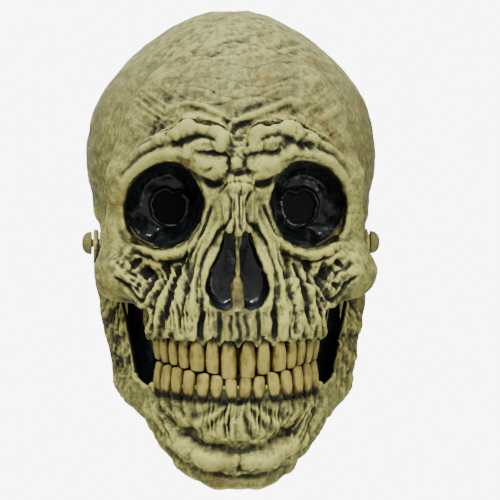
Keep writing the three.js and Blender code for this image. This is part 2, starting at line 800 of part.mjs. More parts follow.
const BONE = plain(0xb9b68a, 0.62);
const TOOTH = plain(0xb8a466, 0.4);
const BLACK_LATEX = plain(0x14171a, 0.22);
const BLACK_MESH = plain(0x0c0c0d, 0.9);
const FOAM = plain(0x3a3a3c, 0.95);
const WEBBING = plain(0x1b1b1d, 0.85);
const GAUZE = plain(0xd8d2bd, 0.9);
const NYLON = plain(0xe4e2da, 0.5);
const NICKEL = plain(0xb4b6b8, 0.3, 0.9);

const mask = new THREE.Group();

function add(name, solid, material) {
  const mesh = new THREE.Mesh(geometryOf(solid), material);
  mesh.name = name;
  mask.add(mesh);
}

add("skull_skin", skullSkin(), BONE);
add("upper_teeth", upperTeeth(), TOOTH);
add("nose_cup", noseCup(), BLACK_LATEX);
add("jaw_skin", jawSkin(), BONE);
add("lower_teeth", lowerTeeth(), TOOTH);
add("mouth_liner", mouthLiner(), BLACK_LATEX);
add("chin_pad", chinPad(), FOAM);
add("chin_strap", chinStrap(), WEBBING);
for (const [name, side] of [
  ["left", 1],
  ["right", -1],
]) {
  add(`${name}_socket_cup`, onSide(socketCup(), side), BLACK_LATEX);
  add(`${name}_eye_mesh`, onSide(eyeMesh(), side), BLACK_MESH);
  add(`${name}_pivot_cap`, onSide(pivotCap(), side), BONE);
  add(`${name}_pivot_washer`, onSide(pivotWasher(), side), NYLON);
  add(`${name}_pivot_nut`, onSide(pivotNut(), side), NICKEL);
  add(`${name}_jaw_elastic`, onSide(jawElastic(), side), WEBBING);
  add(`${name}_slit_tape`, onSide(slitTape(), side), GAUZE);
}
for (const [name, place] of Object.entries(PADS)) add(name, foamPad(place), FOAM);
add("crown_pad", crownPad(), FOAM);
add("strap_anchor", strapAnchor(), WEBBING);
add("loop_tape", loopTape(), WEBBING);
add("closure_strap", closureStrap(), WEBBING);
add("hook_tape", hookTape(), WEBBING);

export default mask;
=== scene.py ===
"""A latex overhead skull mask with a moving jaw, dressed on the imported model.

The head casting is sculpted as a solid field of blended forms, hollowed to a latex wall, cut open,
turned into a mesh and then worked over with strokes, fibres and pits. The jaw is a band swept round
its plan. Lengths in this file are in millimetres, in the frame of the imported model, until a mesh is
made of them in metres.
"""

from __future__ import annotations

import logging
import math
from dataclasses import dataclass, field
from enum import Enum
from typing import Any, Sequence

import bmesh
import bpy
import numpy as np
import openvdb
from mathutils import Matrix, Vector

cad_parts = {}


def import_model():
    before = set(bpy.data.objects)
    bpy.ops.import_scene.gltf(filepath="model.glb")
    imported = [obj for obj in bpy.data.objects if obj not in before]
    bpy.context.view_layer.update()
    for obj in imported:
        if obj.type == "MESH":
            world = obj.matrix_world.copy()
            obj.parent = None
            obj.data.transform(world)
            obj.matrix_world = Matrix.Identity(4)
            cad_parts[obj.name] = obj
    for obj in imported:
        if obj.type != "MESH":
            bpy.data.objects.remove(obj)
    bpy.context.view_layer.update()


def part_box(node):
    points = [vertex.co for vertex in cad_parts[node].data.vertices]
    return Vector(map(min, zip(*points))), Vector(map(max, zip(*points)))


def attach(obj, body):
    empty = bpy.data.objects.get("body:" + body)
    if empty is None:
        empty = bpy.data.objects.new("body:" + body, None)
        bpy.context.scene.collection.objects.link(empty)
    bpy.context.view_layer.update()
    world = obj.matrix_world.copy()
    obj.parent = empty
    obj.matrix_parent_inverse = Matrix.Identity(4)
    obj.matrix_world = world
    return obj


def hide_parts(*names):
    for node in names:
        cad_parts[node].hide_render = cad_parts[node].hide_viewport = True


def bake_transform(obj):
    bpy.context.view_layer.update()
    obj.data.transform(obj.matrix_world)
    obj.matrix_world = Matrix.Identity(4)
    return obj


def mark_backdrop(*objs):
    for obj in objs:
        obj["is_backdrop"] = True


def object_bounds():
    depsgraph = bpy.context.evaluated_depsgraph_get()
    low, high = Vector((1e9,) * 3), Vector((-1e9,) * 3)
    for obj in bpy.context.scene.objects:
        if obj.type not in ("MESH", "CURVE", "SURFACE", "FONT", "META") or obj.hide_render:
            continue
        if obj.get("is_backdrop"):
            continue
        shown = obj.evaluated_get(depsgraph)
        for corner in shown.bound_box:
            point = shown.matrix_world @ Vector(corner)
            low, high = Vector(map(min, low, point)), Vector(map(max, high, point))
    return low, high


LOG = logging.getLogger("skull_mask")
MM = 0.001

Point2 = tuple[float, float]
Point3 = tuple[float, float, float]
Array = np.ndarray
Piece = bpy.types.Object


class Body(str, Enum):
    """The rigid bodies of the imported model."""

    HEAD = "head"
    JAW = "jaw"
    STRAP = "strap"


class Side(Enum):
    """A side of the wearer, and which way it lies along X."""

    LEFT = 1
    RIGHT = -1

    @property
    def word(self) -> str:
        """The side's name as it stands in node names."""
        return self.name.lower()


# ---- Numbers ----


def ease(low: float, high: float, value: Any) -> Any:
    """Rise smoothly from 0 at low to 1 at high."""
    share = np.clip((value - low) / (high - low), 0.0, 1.0)
    return share * share * (3.0 - 2.0 * share)


def melt(a: Array, b: Array, width: float) -> Array:
    """Join two distance fields, rounding the seam over a width."""
    if width <= 0:
        return np.minimum(a, b)
    shared = np.maximum(width - np.abs(a - b), 0.0) / width
    return np.minimum(a, b) - shared * shared * width * 0.25


def spline(points: Sequence[Sequence[float]], shares: Array, closed: bool = False) -> Array:
    """Follow a smooth curve through points.

    Args:
        points: The points that the curve passes, in order.
        shares: How far along the curve to look, from 0 to 1.
        closed: Whether the curve comes back to its first point.

    Returns:
        One row per share.
    """
    stops = np.array(points, float)
    count = len(stops)
    spans = count if closed else count - 1
    at = np.clip(np.asarray(shares, float), 0.0, 1.0) * spans
    first = np.minimum(at.astype(int), spans - 1)
    t = (at - first)[:, None]

    def stop(offset: int) -> Array:
        index = first + offset
        return stops[index % count] if closed else stops[np.clip(index, 0, count - 1)]

    before, start, end, after = stop(-1), stop(0), stop(1), stop(2)
    return 0.5 * (
        2 * start
        + (end - before) * t
        + (2 * before - 5 * start + 4 * end - after) * t**2
        + (3 * start - before - 3 * end + after) * t**3
    )


def extent(node: str) -> tuple[Array, Array]:
    """A node's lowest and highest corners in millimetres."""
    low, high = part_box(node)
    return np.array(low) / MM, np.array(high) / MM


class Grain:
    """Smooth random values over space, the same on every run."""

    CELLS = 32

    def __init__(self, seed: int) -> None:
        """Draw the values at the corners of the lattice."""
        shape = (self.CELLS,) * 3
        self.corners = np.random.RandomState(seed).uniform(-1, 1, shape).astype(np.float32)

    def at(self, points: Array, size: float | Point3) -> Array:
        """Read the values.

        Args:
            points: Where to read, one row each.
            size: The length of a lattice cell, or one length per axis.

        Returns:
            A value from -1 to 1 per point.
        """
        place = points / np.array(size, float)
        cell = np.floor(place).astype(int)
        part = place - cell
        part = part * part * (3 - 2 * part)
        total = np.zeros(len(points))
        for corner in np.ndindex(2, 2, 2):
            index = tuple(((cell + corner) % self.CELLS).T)
            weight = np.prod(np.where(corner, part, 1 - part), axis=1)
            total += self.corners[index] * weight
        return total

    def layers(self, points: Array, size: float, count: int = 3) -> Array:
        """Add finer and weaker values to coarse ones."""
        rows = (self.at(points + 17.3 * i, size / 2**i) / 2**i for i in range(count))
        return sum(rows, np.zeros(len(points)))


# ---- Forms for the head's field ----


@dataclass(frozen=True)
class Egg:
    """An ellipsoid: centre, radii, and how far it flows into what it joins."""

    centre: Point3
    radii: Point3
    blend: float = 10.0

    def bounds(self, margin: float) -> tuple[Array, Array]:
        """The form's lowest and highest corners, grown by a margin."""
        centre, radii = np.array(self.centre), np.array(self.radii)
        return centre - radii - margin, centre + radii + margin

    def distance(self, x: Array, y: Array, z: Array) -> Array:
        """The distance from the form's surface, below 0 inside."""
        (cx, cy, cz), (rx, ry, rz) = self.centre, self.radii
        a, b, c = (x - cx) / rx, (y - cy) / ry, (z - cz) / rz
        near = np.sqrt(a * a + b * b + c * c)
        slope = np.sqrt((a / rx) ** 2 + (b / ry) ** 2 + (c / rz) ** 2) + 1e-6
        return near * (near - 1.0) / slope


@dataclass(frozen=True)
class Ridge:
    """A chain of round bars. Each stop is x, y, z and the radius there."""

    stops: tuple[tuple[float, float, float, float], ...]
    blend: float = 8.0

    def bounds(self, margin: float) -> tuple[Array, Array]:
        """The form's lowest and highest corners, grown by a margin."""
        stops = np.array(self.stops)
        wide = stops[:, 3].max() + margin
        return stops[:, :3].min(axis=0) - wide, stops[:, :3].max(axis=0) + wide

    def distance(self, x: Array, y: Array, z: Array) -> Array:
        """The distance from the form's surface, below 0 inside."""
        best: Array | None = None
        for (ax, ay, az, ar), (bx, by, bz, br) in zip(self.stops, self.stops[1:]):
            dx, dy, dz = bx - ax, by - ay, bz - az
            along = ((x - ax) * dx + (y - ay) * dy + (z - az) * dz) / (dx * dx + dy * dy + dz * dz)
            t = np.clip(along, 0.0, 1.0)
            away = np.sqrt((x - ax - t * dx) ** 2 + (y - ay - t * dy) ** 2 + (z - az - t * dz) ** 2)
            here = away - ar - t * (br - ar)
            best = here if best is None else np.minimum(best, here)
        assert best is not None
        return best


@dataclass(frozen=True)
class Column:
    """An upright oval column with rounded ends."""

    centre: Point2
    radii: Point2
    span: Point2
    rounding: float = 8.0
    blend: float = 10.0

    def bounds(self, margin: float) -> tuple[Array, Array]:
        """The form's lowest and highest corners, grown by a margin."""
        (cx, cy), (rx, ry), (low, high) = self.centre, self.radii, self.span
        return (
            np.array([cx - rx - margin, cy - ry - margin, low - margin]),
            np.array([cx + rx + margin, cy + ry + margin, high + margin]),
        )

    def distance(self, x: Array, y: Array, z: Array) -> Array:
        """The distance from the form's surface, below 0 inside."""
        (cx, cy), (rx, ry), (low, high) = self.centre, self.radii, self.span
        rx, ry = rx - self.rounding, ry - self.rounding
        a, b = (x - cx) / rx, (y - cy) / ry
        near = np.sqrt(a * a + b * b)
        side = near * (near - 1.0) / (np.sqrt((a / rx) ** 2 + (b / ry) ** 2) + 1e-6)
        ends = np.maximum(low + self.rounding - z, z - high + self.rounding)
        outside = np.sqrt(np.maximum(side, 0) ** 2 + np.maximum(ends, 0) ** 2)
        return outside + np.minimum(np.maximum(side, ends), 0) - self.rounding


Form = Egg | Ridge | Column


def mirrored(form: Egg | Ridge) -> Egg | Ridge:
    """The same form on the other side of the head."""
    if isinstance(form, Egg):
        x, y, z = form.centre
        return Egg((-x, y, z), form.radii, form.blend)
    return Ridge(tuple((-x, y, z, r) for x, y, z, r in form.stops), form.blend)


class Clay:
    """A block of space in small cells, each holding the distance to the nearest surface."""

    FAR = 60.0

    def __init__(self, low: Point3, high: Point3, cell: float) -> None:
        """Lay out the cells, all of them empty."""
        self.low = np.array(low, np.float32)
        self.cell = cell
        self.counts = np.ceil((np.array(high) - np.array(low)) / cell).astype(int) + 1
        axes = [self.low[i] + cell * np.arange(self.counts[i], dtype=np.float32) for i in range(3)]
        self.x, self.y, self.z = axes[0][:, None, None], axes[1][None, :, None], axes[2][None, None, :]
        self.depth = np.full(self.counts, self.FAR, np.float32)

    def window(self, low: Array, high: Array) -> tuple[slice, slice, slice]:
        """The cells between two corners."""
        first = np.clip(np.floor((low - self.low) / self.cell).astype(int), 0, self.counts)
        last = np.clip(np.ceil((high - self.low) / self.cell).astype(int) + 1, 0, self.counts)
        return tuple(slice(a, b) for a, b in zip(first, last))  # type: ignore[return-value]

    def places(self, cells: tuple[slice, slice, slice]) -> tuple[Array, Array, Array]:
        """The positions of the cells in a window, ready to broadcast."""
        return self.x[cells[0]], self.y[:, cells[1]], self.z[:, :, cells[2]]

    def add(self, form: Form) -> None:
        """Join a form to what is there."""
        cells = self.window(*form.bounds(form.blend + 8))
        near = form.distance(*self.places(cells)).astype(np.float32)
        self.depth[cells] = melt(self.depth[cells], near, form.blend)

    def cut(self, form: Form, rounding: float) -> None:
        """Take a form away."""
        cells = self.window(*form.bounds(rounding + 4))
        near = form.distance(*self.places(cells)).astype(np.float32)
        self.depth[cells] = -melt(-self.depth[cells], near, rounding)

    def trim(self, inside: Array, rounding: float) -> None:
        """Take away the space where a field, as wide as the block, is below 0."""
        self.depth = -melt(-self.depth, inside.astype(np.float32), rounding)

    def hollow(self, wall: float) -> None:
        """Keep only a skin under the surface."""
        self.depth = np.maximum(self.depth, -(self.depth + wall))

    def mesh(self) -> tuple[Array, Array]:
        """Find the surface.

        Returns:
            The vertices, and the triangles as rows of three indices.
        """
        grid = openvdb.FloatGrid(background=3 * self.cell)
        grid.copyFromArray(np.clip(self.depth, -3 * self.cell, 3 * self.cell), tolerance=1e-4)
        points, quads = grid.convertToQuads()
        triangles = np.concatenate([quads[:, [0, 1, 2]], quads[:, [0, 2, 3]]])
        return points * self.cell + self.low, triangles


def rounded(corners: Sequence[Point2], count: int) -> Array:
    """A smooth closed outline through corners, as a number of points."""
    return spline(corners, np.linspace(0, 1, count + 1)[:-1], closed=True)


def to_outline(outline: Array, x: Array, z: Array) -> Array:
    """The distance from a closed outline in the XZ plane, below 0 inside it.

    Args:
        outline: The outline's corners, one row each.
        x: Places along X.
        z: Places along Z, of the same shape.

    Returns:
        The distances, of the same shape.
    """
    best = np.full(x.shape, np.inf)
    inside = np.zeros(x.shape, bool)
    for (ax, az), (bx, bz) in zip(outline, np.roll(outline, -1, axis=0)):
        dx, dz = bx - ax, bz - az
        t = np.clip(((x - ax) * dx + (z - az) * dz) / (dx * dx + dz * dz + 1e-9), 0, 1)
        best = np.minimum(best, (x - ax - t * dx) ** 2 + (z - az - t * dz) ** 2)
        crosses = (az > z) != (bz > z)
        inside ^= crosses & (x < ax + (z - az) * dx / (dz if abs(dz) > 1e-9 else 1e-9))
    return np.where(inside, -1.0, 1.0) * np.sqrt(best)


def even_round(outline: Array, middle: Sequence[float], around: int) -> Array:
    """An outline's places at even turns about a middle point, from -180 degrees on."""
    turn = np.arctan2(outline[:, 1] - middle[1], outline[:, 0] - middle[0])
    order = np.argsort(turn)
    even = np.linspace(-math.pi, math.pi, around, endpoint=False)
    columns = [np.interp(even, turn[order], outline[order, i], period=2 * math.pi) for i in (0, 1)]
    return np.stack(columns, axis=1)


def upright(x: Array, y: Any, z: Array) -> Array:
    """Points from their coordinates, spread to one shape."""
    return np.stack(np.broadcast_arrays(x, y, z), axis=-1)


# ---- Relief that is worked into a surface ----


@dataclass(frozen=True)
class Stroke:
    """A line on the face, seen from the front. A positive lift is a ridge, a negative one a groove."""

    points: tuple[Point2, ...]
    width: float
    lift: float
    both_sides: bool = True
    firm_ends: bool = False


@dataclass(frozen=True)
class Fibres:
    """A patch of long thin ridges, seen from the front."""

    centre: Point2
    radii: Point2
    lean: float
    bend: float
    spacing: float
    lift: float
    both_sides: bool = True


@dataclass(frozen=True)
class Lumps:
    """A patch of rounded lumps and hollows, seen from the front."""

    centre: Point2
    radii: Point2
    size: float
    lift: float


@dataclass(frozen=True)
class Mound:
    """A rounded swelling, seen from the front."""

    centre: Point2
    radii: Point2
    lift: float
    both_sides: bool = True


Mark = Stroke | Fibres | Lumps | Mound


class Relief:
    """Works strokes, fibres and lumps into vertices along their normals."""

    WOBBLE = 0.9

    def __init__(self, seed: int) -> None:
        """Set the random values that make the strokes uneven."""
        self.grain = Grain(seed)
        self.fine = Grain(seed + 1)

    def _wobbled(self, places: Array) -> Array:
        """The places seen from the front, shaken a little."""
        shift = np.stack([self.grain.layers(places, 11.0), self.fine.layers(places, 11.0)], axis=1)
        return places[:, [0, 2]] + self.WOBBLE * shift

    def stroke(self, flat: Array, stroke: Stroke) -> Array:
        """The height of one stroke at places seen from the front."""
        total = np.zeros(len(flat))
        for side in (1.0, -1.0) if stroke.both_sides else (1.0,):
            line = spline(stroke.points, np.linspace(0, 1, 6 * len(stroke.points))) * (side, 1.0)
            margin = 3.0 * stroke.width
            low, high = line.min(axis=0) - margin, line.max(axis=0) + margin
            near = np.where(((flat > low) & (flat < high)).all(axis=1))[0]
            if not len(near):
                continue
            start, way = line[:-1], np.diff(line, axis=0)
            away = flat[near, None, :] - start[None]
            t = np.clip((away * way).sum(axis=2) / (way**2).sum(axis=1), 0, 1)
            gap = np.linalg.norm(away - t[..., None] * way, axis=2)
            best = gap.argmin(axis=1)
            row = np.arange(len(near))
            share = (best + t[row, best]) / len(way)
            taper = 1.0 if stroke.firm_ends else np.clip(np.minimum(share, 1 - share) / 0.22, 0.0, 1) ** 0.7
            total[near] += stroke.lift * taper * np.exp(-((gap[row, best] / stroke.width) ** 2))
        return total

    def fibres(self, flat: Array, patch: Fibres) -> Array:
        """The height of a patch of fibres at places seen from the front."""
        total = np.zeros(len(flat))
        for side in (1.0, -1.0) if patch.both_sides else (1.0,):
            away = (flat * (side, 1.0) - patch.centre) / patch.radii
            mask = ease(1.0, 0.45, np.linalg.norm(away, axis=1))
            near = np.where(mask > 0)[0]
            if not len(near):
                continue
            x, z = (flat[near] * (side, 1.0) - patch.centre).T
            angle = math.radians(patch.lean)
            along = z * math.cos(angle) + x * math.sin(angle)
            across = x * math.cos(angle) - z * math.sin(angle) + patch.bend * along**2
            thin = np.stack([across, along, np.full(len(near), 40.0 * side)], axis=1)
            coarse = self.grain.at(thin, (patch.spacing, patch.spacing * 9, 1))
            crisp = self.fine.at(thin, (patch.spacing * 0.5, patch.spacing * 5, 1))
            ridged = 1 - 2.2 * np.abs(coarse) + 0.5 * crisp
            total[near] += patch.lift * mask[near] * ridged
        return total

    def lumps(self, flat: Array, places: Array, patch: Lumps) -> Array:
        """The height of a patch of lumps."""
        away = (np.abs(flat * (1.0, 0.0)) + flat * (0.0, 1.0) - patch.centre) / patch.radii
        mask = ease(1.0, 0.5, np.linalg.norm(away, axis=1))
        near = np.where(mask > 0)[0]
        total = np.zeros(len(flat))
        total[near] = patch.lift * mask[near] * self.grain.layers(places[near] + 91.0, patch.size, 3)
        return total

    @staticmethod
    def mound(flat: Array, mound: Mound) -> Array:
        """The height of one mound at places seen from the front."""
        total = np.zeros(len(flat))
        for side in (1.0, -1.0) if mound.both_sides else (1.0,):
            away = np.linalg.norm((flat * (side, 1.0) - mound.centre) / mound.radii, axis=1)
            total += mound.lift * ease(1.2, 0.3, away)
        return total

    def height(self, places: Array, marks: Sequence[Mark]) -> Array:
        """The height that all marks give together.

        Args:
            places: The vertices, one row each.
            marks: What is worked in.

        Returns:
            A height per vertex.
        """
        flat = self._wobbled(places)
        total = np.zeros(len(places))
        for mark in marks:
            if isinstance(mark, Stroke):
                total += self.stroke(flat, mark)
            elif isinstance(mark, Fibres):
                total += self.fibres(flat, mark)
            elif isinstance(mark, Mound):
                total += self.mound(flat, mark)
            else:
                total += self.lumps(flat, places, mark)
        return total


# ---- Meshes ----


def inside_out(points: Array, triangles: Array) -> bool:
    """Whether a closed mesh's faces point inwards."""
    a, b, c = (points[triangles[:, i]] for i in range(3))
    return bool(np.einsum("ij,ij->i", a, np.cross(b, c)).sum() < 0)


def unit(ways: Array) -> Array:
    """Directions scaled to a length of one."""
    return ways / (np.linalg.norm(ways, axis=-1, keepdims=True) + 1e-9)


def normals_of(points: Array, triangles: Array) -> Array:
    """A unit normal per vertex of a triangle mesh."""
    a, b, c = (points[triangles[:, i]] for i in range(3))
    faces = np.cross(b - a, c - a)
    corners, count, weights = triangles.ravel(), len(points), np.repeat(faces, 3, axis=0)
    total = np.stack([np.bincount(corners, weights[:, i], minlength=count) for i in range(3)], axis=1)
    return unit(total)


def grid_faces(rows: int, columns: int, ring: bool) -> Array:
    """Quads over a grid of vertices laid row by row.

    Args:
        rows: The number of rows of vertices.
        columns: The vertices in a row.
        ring: Whether each row closes on itself.

    Returns:
        One row of four indices per face.
    """
    row = np.arange(rows - 1)[:, None]
    column = np.arange(columns if ring else columns - 1)[None]
    after = (column + 1) % columns
    here, above = row * columns, (row + 1) * columns
    quads = np.stack([here + column, here + after, above + after, above + column], axis=-1)
    return quads.reshape(-1, 4)


def mesh_object(name: str, points: Array, faces: Array) -> Piece:
    """Make an object in metres from points in millimetres.

    Args:
        name: The object's name.
        points: The vertices, one row each.
        faces: The corners of each face, one row each.

    Returns:
        The object, linked to the scene.
    """
    mesh = bpy.data.meshes.new(name)
    mesh.vertices.add(len(points))
    mesh.vertices.foreach_set("co", (np.asarray(points, float) * MM).ravel())
    mesh.loops.add(faces.size)
    mesh.loops.foreach_set("vertex_index", faces.ravel().astype(np.int32))
    mesh.polygons.add(len(faces))
    starts = np.arange(0, faces.size, faces.shape[1], dtype=np.int32)
    mesh.polygons.foreach_set("loop_start", starts)
    mesh.update(calc_edges=True)
    mesh.validate()
    mesh.polygons.foreach_set("use_smooth", np.full(len(mesh.polygons), True))
    piece = bpy.data.objects.new(name, mesh)
    bpy.context.scene.collection.objects.link(piece)
    return piece


def outward(piece: Piece) -> Piece:
    """Turn a closed mesh's faces outwards."""
    mesh = piece.data
    mesh.calc_loop_triangles()
    corners = np.empty(len(mesh.loop_triangles) * 3, np.int32)
    mesh.loop_triangles.foreach_get("vertices", corners)
    if inside_out(vertices_of(piece), corners.reshape(-1, 3)):
        mesh.flip_normals()
    return piece


def per_vertex(piece: Piece, what: str) -> Array:
    """Three numbers that an object's mesh holds for each vertex."""
    flat = np.empty(len(piece.data.vertices) * 3)
    piece.data.vertices.foreach_get(what, flat)
    return flat.reshape(-1, 3)


def vertices_of(piece: Piece) -> Array:
    """The vertices of an object in millimetres."""
    return per_vertex(piece, "co") / MM


def vertex_normals(piece: Piece) -> Array:
    """The unit normals of an object's vertices."""
    return per_vertex(piece, "normal")


def store(piece: Piece, **values: Array) -> None:
    """Keep values on an object's vertices, each under its own name, for the paint to read."""
    for name, value in values.items():
        stored = piece.data.attributes.new(name, "FLOAT", "POINT")
        stored.data.foreach_set("value", value.astype(np.float32))


def recalculated(piece: Piece) -> Piece:
    """Point every closed body's faces outwards."""
    shape = bmesh.new()
    shape.from_mesh(piece.data)
    bmesh.ops.recalc_face_normals(shape, faces=shape.faces)
    shape.to_mesh(piece.data)
    shape.free()
    return piece


def skinned(name: str, skin: tuple[Array, Array]) -> Piece:
    """An object from the vertices and quads of closed bodies."""
    return recalculated(mesh_object(name, *skin))


def with_modifiers(piece: Piece) -> None:
    """Turn an object's modifiers into plain mesh."""
    graph = bpy.context.evaluated_depsgraph_get()
    baked = bpy.data.meshes.new_from_object(piece.evaluated_get(graph))
    piece.modifiers.clear()
    piece.data = baked


def thinned(piece: Piece, target: int, weight: Array | None = None) -> Piece:
    """Reduce a mesh to about a number of triangles.

    Args:
        piece: The object.
        target: The number of triangles to keep.
        weight: Per vertex, how freely it may go, from 0 to 1.

    Returns:
        The same object.
    """
    if weight is not None:
        group = piece.vertex_groups.new(name="thin")
        for step in range(1, 11):
            chosen = np.where((weight > (step - 1) / 10) & (weight <= step / 10))[0]
            group.add(chosen.tolist(), step / 10, "REPLACE")
    reducer = piece.modifiers.new("thin", "DECIMATE")
    reducer.ratio = min(1.0, target / len(piece.data.polygons))
    if weight is not None:
        reducer.vertex_group = "thin"
        reducer.vertex_group_factor = 1.0
    with_modifiers(piece)
    piece.vertex_groups.clear()
    return piece


def note_recesses(piece: Piece) -> None:
    """Store how far each vertex stands proud of its near and its wide surroundings, for the paint."""
    mesh, points, normals = piece.data, vertices_of(piece), vertex_normals(piece)
    edges = np.empty(len(mesh.edges) * 2, np.int32)
    mesh.edges.foreach_get("vertices", edges)
    ends, count = edges.reshape(-1, 2), len(points)
    links = np.bincount(edges, minlength=count) + 1e-9
    soft = points.copy()
    for name, rounds in (("near", 2), ("wide", 12)):
        for _ in range(rounds):
            pulls = [
                np.bincount(ends[:, 0], soft[ends[:, 1], i], minlength=count)
                + np.bincount(ends[:, 1], soft[ends[:, 0], i], minlength=count)
                for i in range(3)
            ]
            soft = 0.5 * soft + 0.5 * np.stack(pulls, axis=1) / links[:, None]
        proud = ((points - soft) * normals).sum(axis=1)
        store(piece, **{name: np.clip(proud, -4, 4)})


def joined(parts: Sequence[tuple[Array, Array]]) -> tuple[Array, Array]:
    """Several meshes with faces of one size, as one."""
    points, faces, base = [], [], 0
    for place, corners in parts:
        points.append(place)
        faces.append(corners + base)
        base += len(place)
    return np.concatenate(points), np.concatenate(faces)


def rounded_edge(face: Array, behind: Array, before: Array, steps: int) -> list[Array]:
    """Rows round an edge, from a face to the one behind it.

    Args:
        face: Places along the edge of one face.
        behind: Places along the edge of the other.
        before: Places half-way through the wall, a step in from the edge.
        steps: The number of rows.

    Returns:
        The rows, bulging away from what lies before the edge.
    """
    centre = (face + behind) / 2
    beyond = unit(centre - before)
    bulge = np.linalg.norm(face - behind, axis=-1, keepdims=True) / 2
    turns = [math.pi * i / (steps + 1) for i in range(1, steps + 1)]
    return [centre + (face - centre) * math.cos(t) + beyond * bulge * math.sin(t) for t in turns]


def shell_grid(outer: Array, inner: Array, rim: int = 3) -> tuple[Array, Array]:
    """Close two facing grids of vertices into a sheet with rounded edges all round.

    Args:
        outer: Outer grid, rows by columns by three.
        inner: Inner grid of the same shape.
        rim: Steps round each rounded edge.

    Returns:
        The vertices and the quads.
    """
    rows, columns = outer.shape[:2]
    middle = (outer + inner) / 2
    top = rounded_edge(outer[:, -1], inner[:, -1], middle[:, -2], rim)
    foot = rounded_edge(inner[:, 0], outer[:, 0], middle[:, 1], rim)
    loop = np.concatenate([outer, np.stack(top, axis=1), inner[:, ::-1], np.stack(foot, axis=1)], axis=1)
    width = loop.shape[1]
    points = loop.reshape(-1, 3)
    quads = [grid_faces(rows, width, ring=True)]
    for row, flip in ((0, False), (rows - 1, True)):
        base = row * width
        left = base + np.arange(columns)
        right = base + columns + rim + columns - 1 - np.arange(columns)
        cap = np.stack([left[:-1], right[:-1], right[1:], left[1:]], axis=1)
        quads.append(cap[:, ::-1] if flip else cap)
        for start in (columns - 1, 2 * columns + rim - 1):
            ids = base + (start + np.arange(rim + 2)) % width
            while len(ids) >= 4:
                face = ids[[0, 1, -2, -1]][None]
                quads.append(face[:, ::-1] if flip else face)
                ids = ids[1:-1]
    return points, np.concatenate(quads)


def torus(loops: Array) -> tuple[Array, Array]:
    """A closed skin over a grid that comes back to its start both ways.

    Args:
        loops: One closed section per row, rows by columns by three, the last row beside the first.

    Returns:
        The vertices and the quads.
    """
    rows, columns = loops.shape[:2]
    quads = grid_faces(rows, columns, ring=True)
    last = (rows - 1) * columns
    column = np.arange(columns)
    after = (column + 1) % columns
    seam = np.stack([last + column, last + after, after, column], axis=1)
    return loops.reshape(-1, 3), np.concatenate([quads, seam])


def ring_shell(front: Array, back: Array, rim: int = 2) -> tuple[Array, Array]:
    """Close a front and a back that run round in rings, such as a cup's, with rounded edges.

    Args:
        front: Rings of the front, rings by places round by three.
        back: Rings of the back, of the same shape.
        rim: Steps round each edge.

    Returns:
        The vertices and the quads.
    """
    middle = (front + back) / 2
    tip = rounded_edge(front[-1], back[-1], middle[-2], rim)
    foot = rounded_edge(back[0], front[0], middle[1], rim)
    return torus(np.stack([*front, *tip, *back[::-1], *foot], axis=1))


def grid_normals(grid: Array, ring: bool = False) -> Array:
    """Unit normals of a grid of points, rows by columns by three."""
    down = np.gradient(grid, axis=0)
    if ring:
        across = np.roll(grid, -1, axis=1) - np.roll(grid, 1, axis=1)
    else:
        across = np.gradient(grid, axis=1)
    return unit(np.cross(down, across))


# ---- Finishes ----


class Wire:
    """A value in a material, with arithmetic that adds the nodes for it."""

    def __init__(self, paint: "Paint", socket: Any) -> None:
        """Hold a node's output."""
        self.paint = paint
        self.socket = socket

    def _math(self, operation: str, *values: Any) -> "Wire":
        """Add a Math node."""
        inputs = dict(enumerate(values))
        return self.paint.node("ShaderNodeMath", {"operation": operation}, inputs)[0]

    def __add__(self, other: Any) -> "Wire":
        """Add."""
        return self._math("ADD", self, other)

    __radd__ = __add__

    def __mul__(self, other: Any) -> "Wire":
        """Multiply."""
        return self._math("MULTIPLY", self, other)

    __rmul__ = __mul__

    def __sub__(self, other: Any) -> "Wire":
        """Subtract."""
        return self._math("SUBTRACT", self, other)

    def __rsub__(self, other: Any) -> "Wire":
        """Subtract from a number."""
        return self._math("SUBTRACT", other, self)

    def sine(self) -> "Wire":
        """The sine of an angle in radians."""
        return self._math("SINE", self)

    def between(self, low: float, high: float) -> "Wire":
        """Rise from 0 at low to 1 at high."""
        inputs = {0: self, 1: low, 2: high}
        settings = {"interpolation_type": "SMOOTHSTEP"}
        return self.paint.node("ShaderNodeMapRange", settings, inputs)[0]


class Outputs:
    """A node's outputs, read by name or by place."""

    def __init__(self, paint: "Paint", made: Any) -> None:
        """Hold the node."""
        self.paint = paint
        self.made = made

    def __getitem__(self, key: int | str) -> Wire:
        """One output."""
        return Wire(self.paint, self.made.outputs[key])


Colour = tuple[float, float, float]


def linear(red: int, green: int, blue: int) -> Colour:
    """A colour in linear light from the usual 0 to 255."""
    shares = (value / 255 for value in (red, green, blue))
    low, high = 12.92, 1.055
    return tuple(s / low if s <= 0.04045 else ((s + 0.055) / high) ** 2.4 for s in shares)  # type: ignore


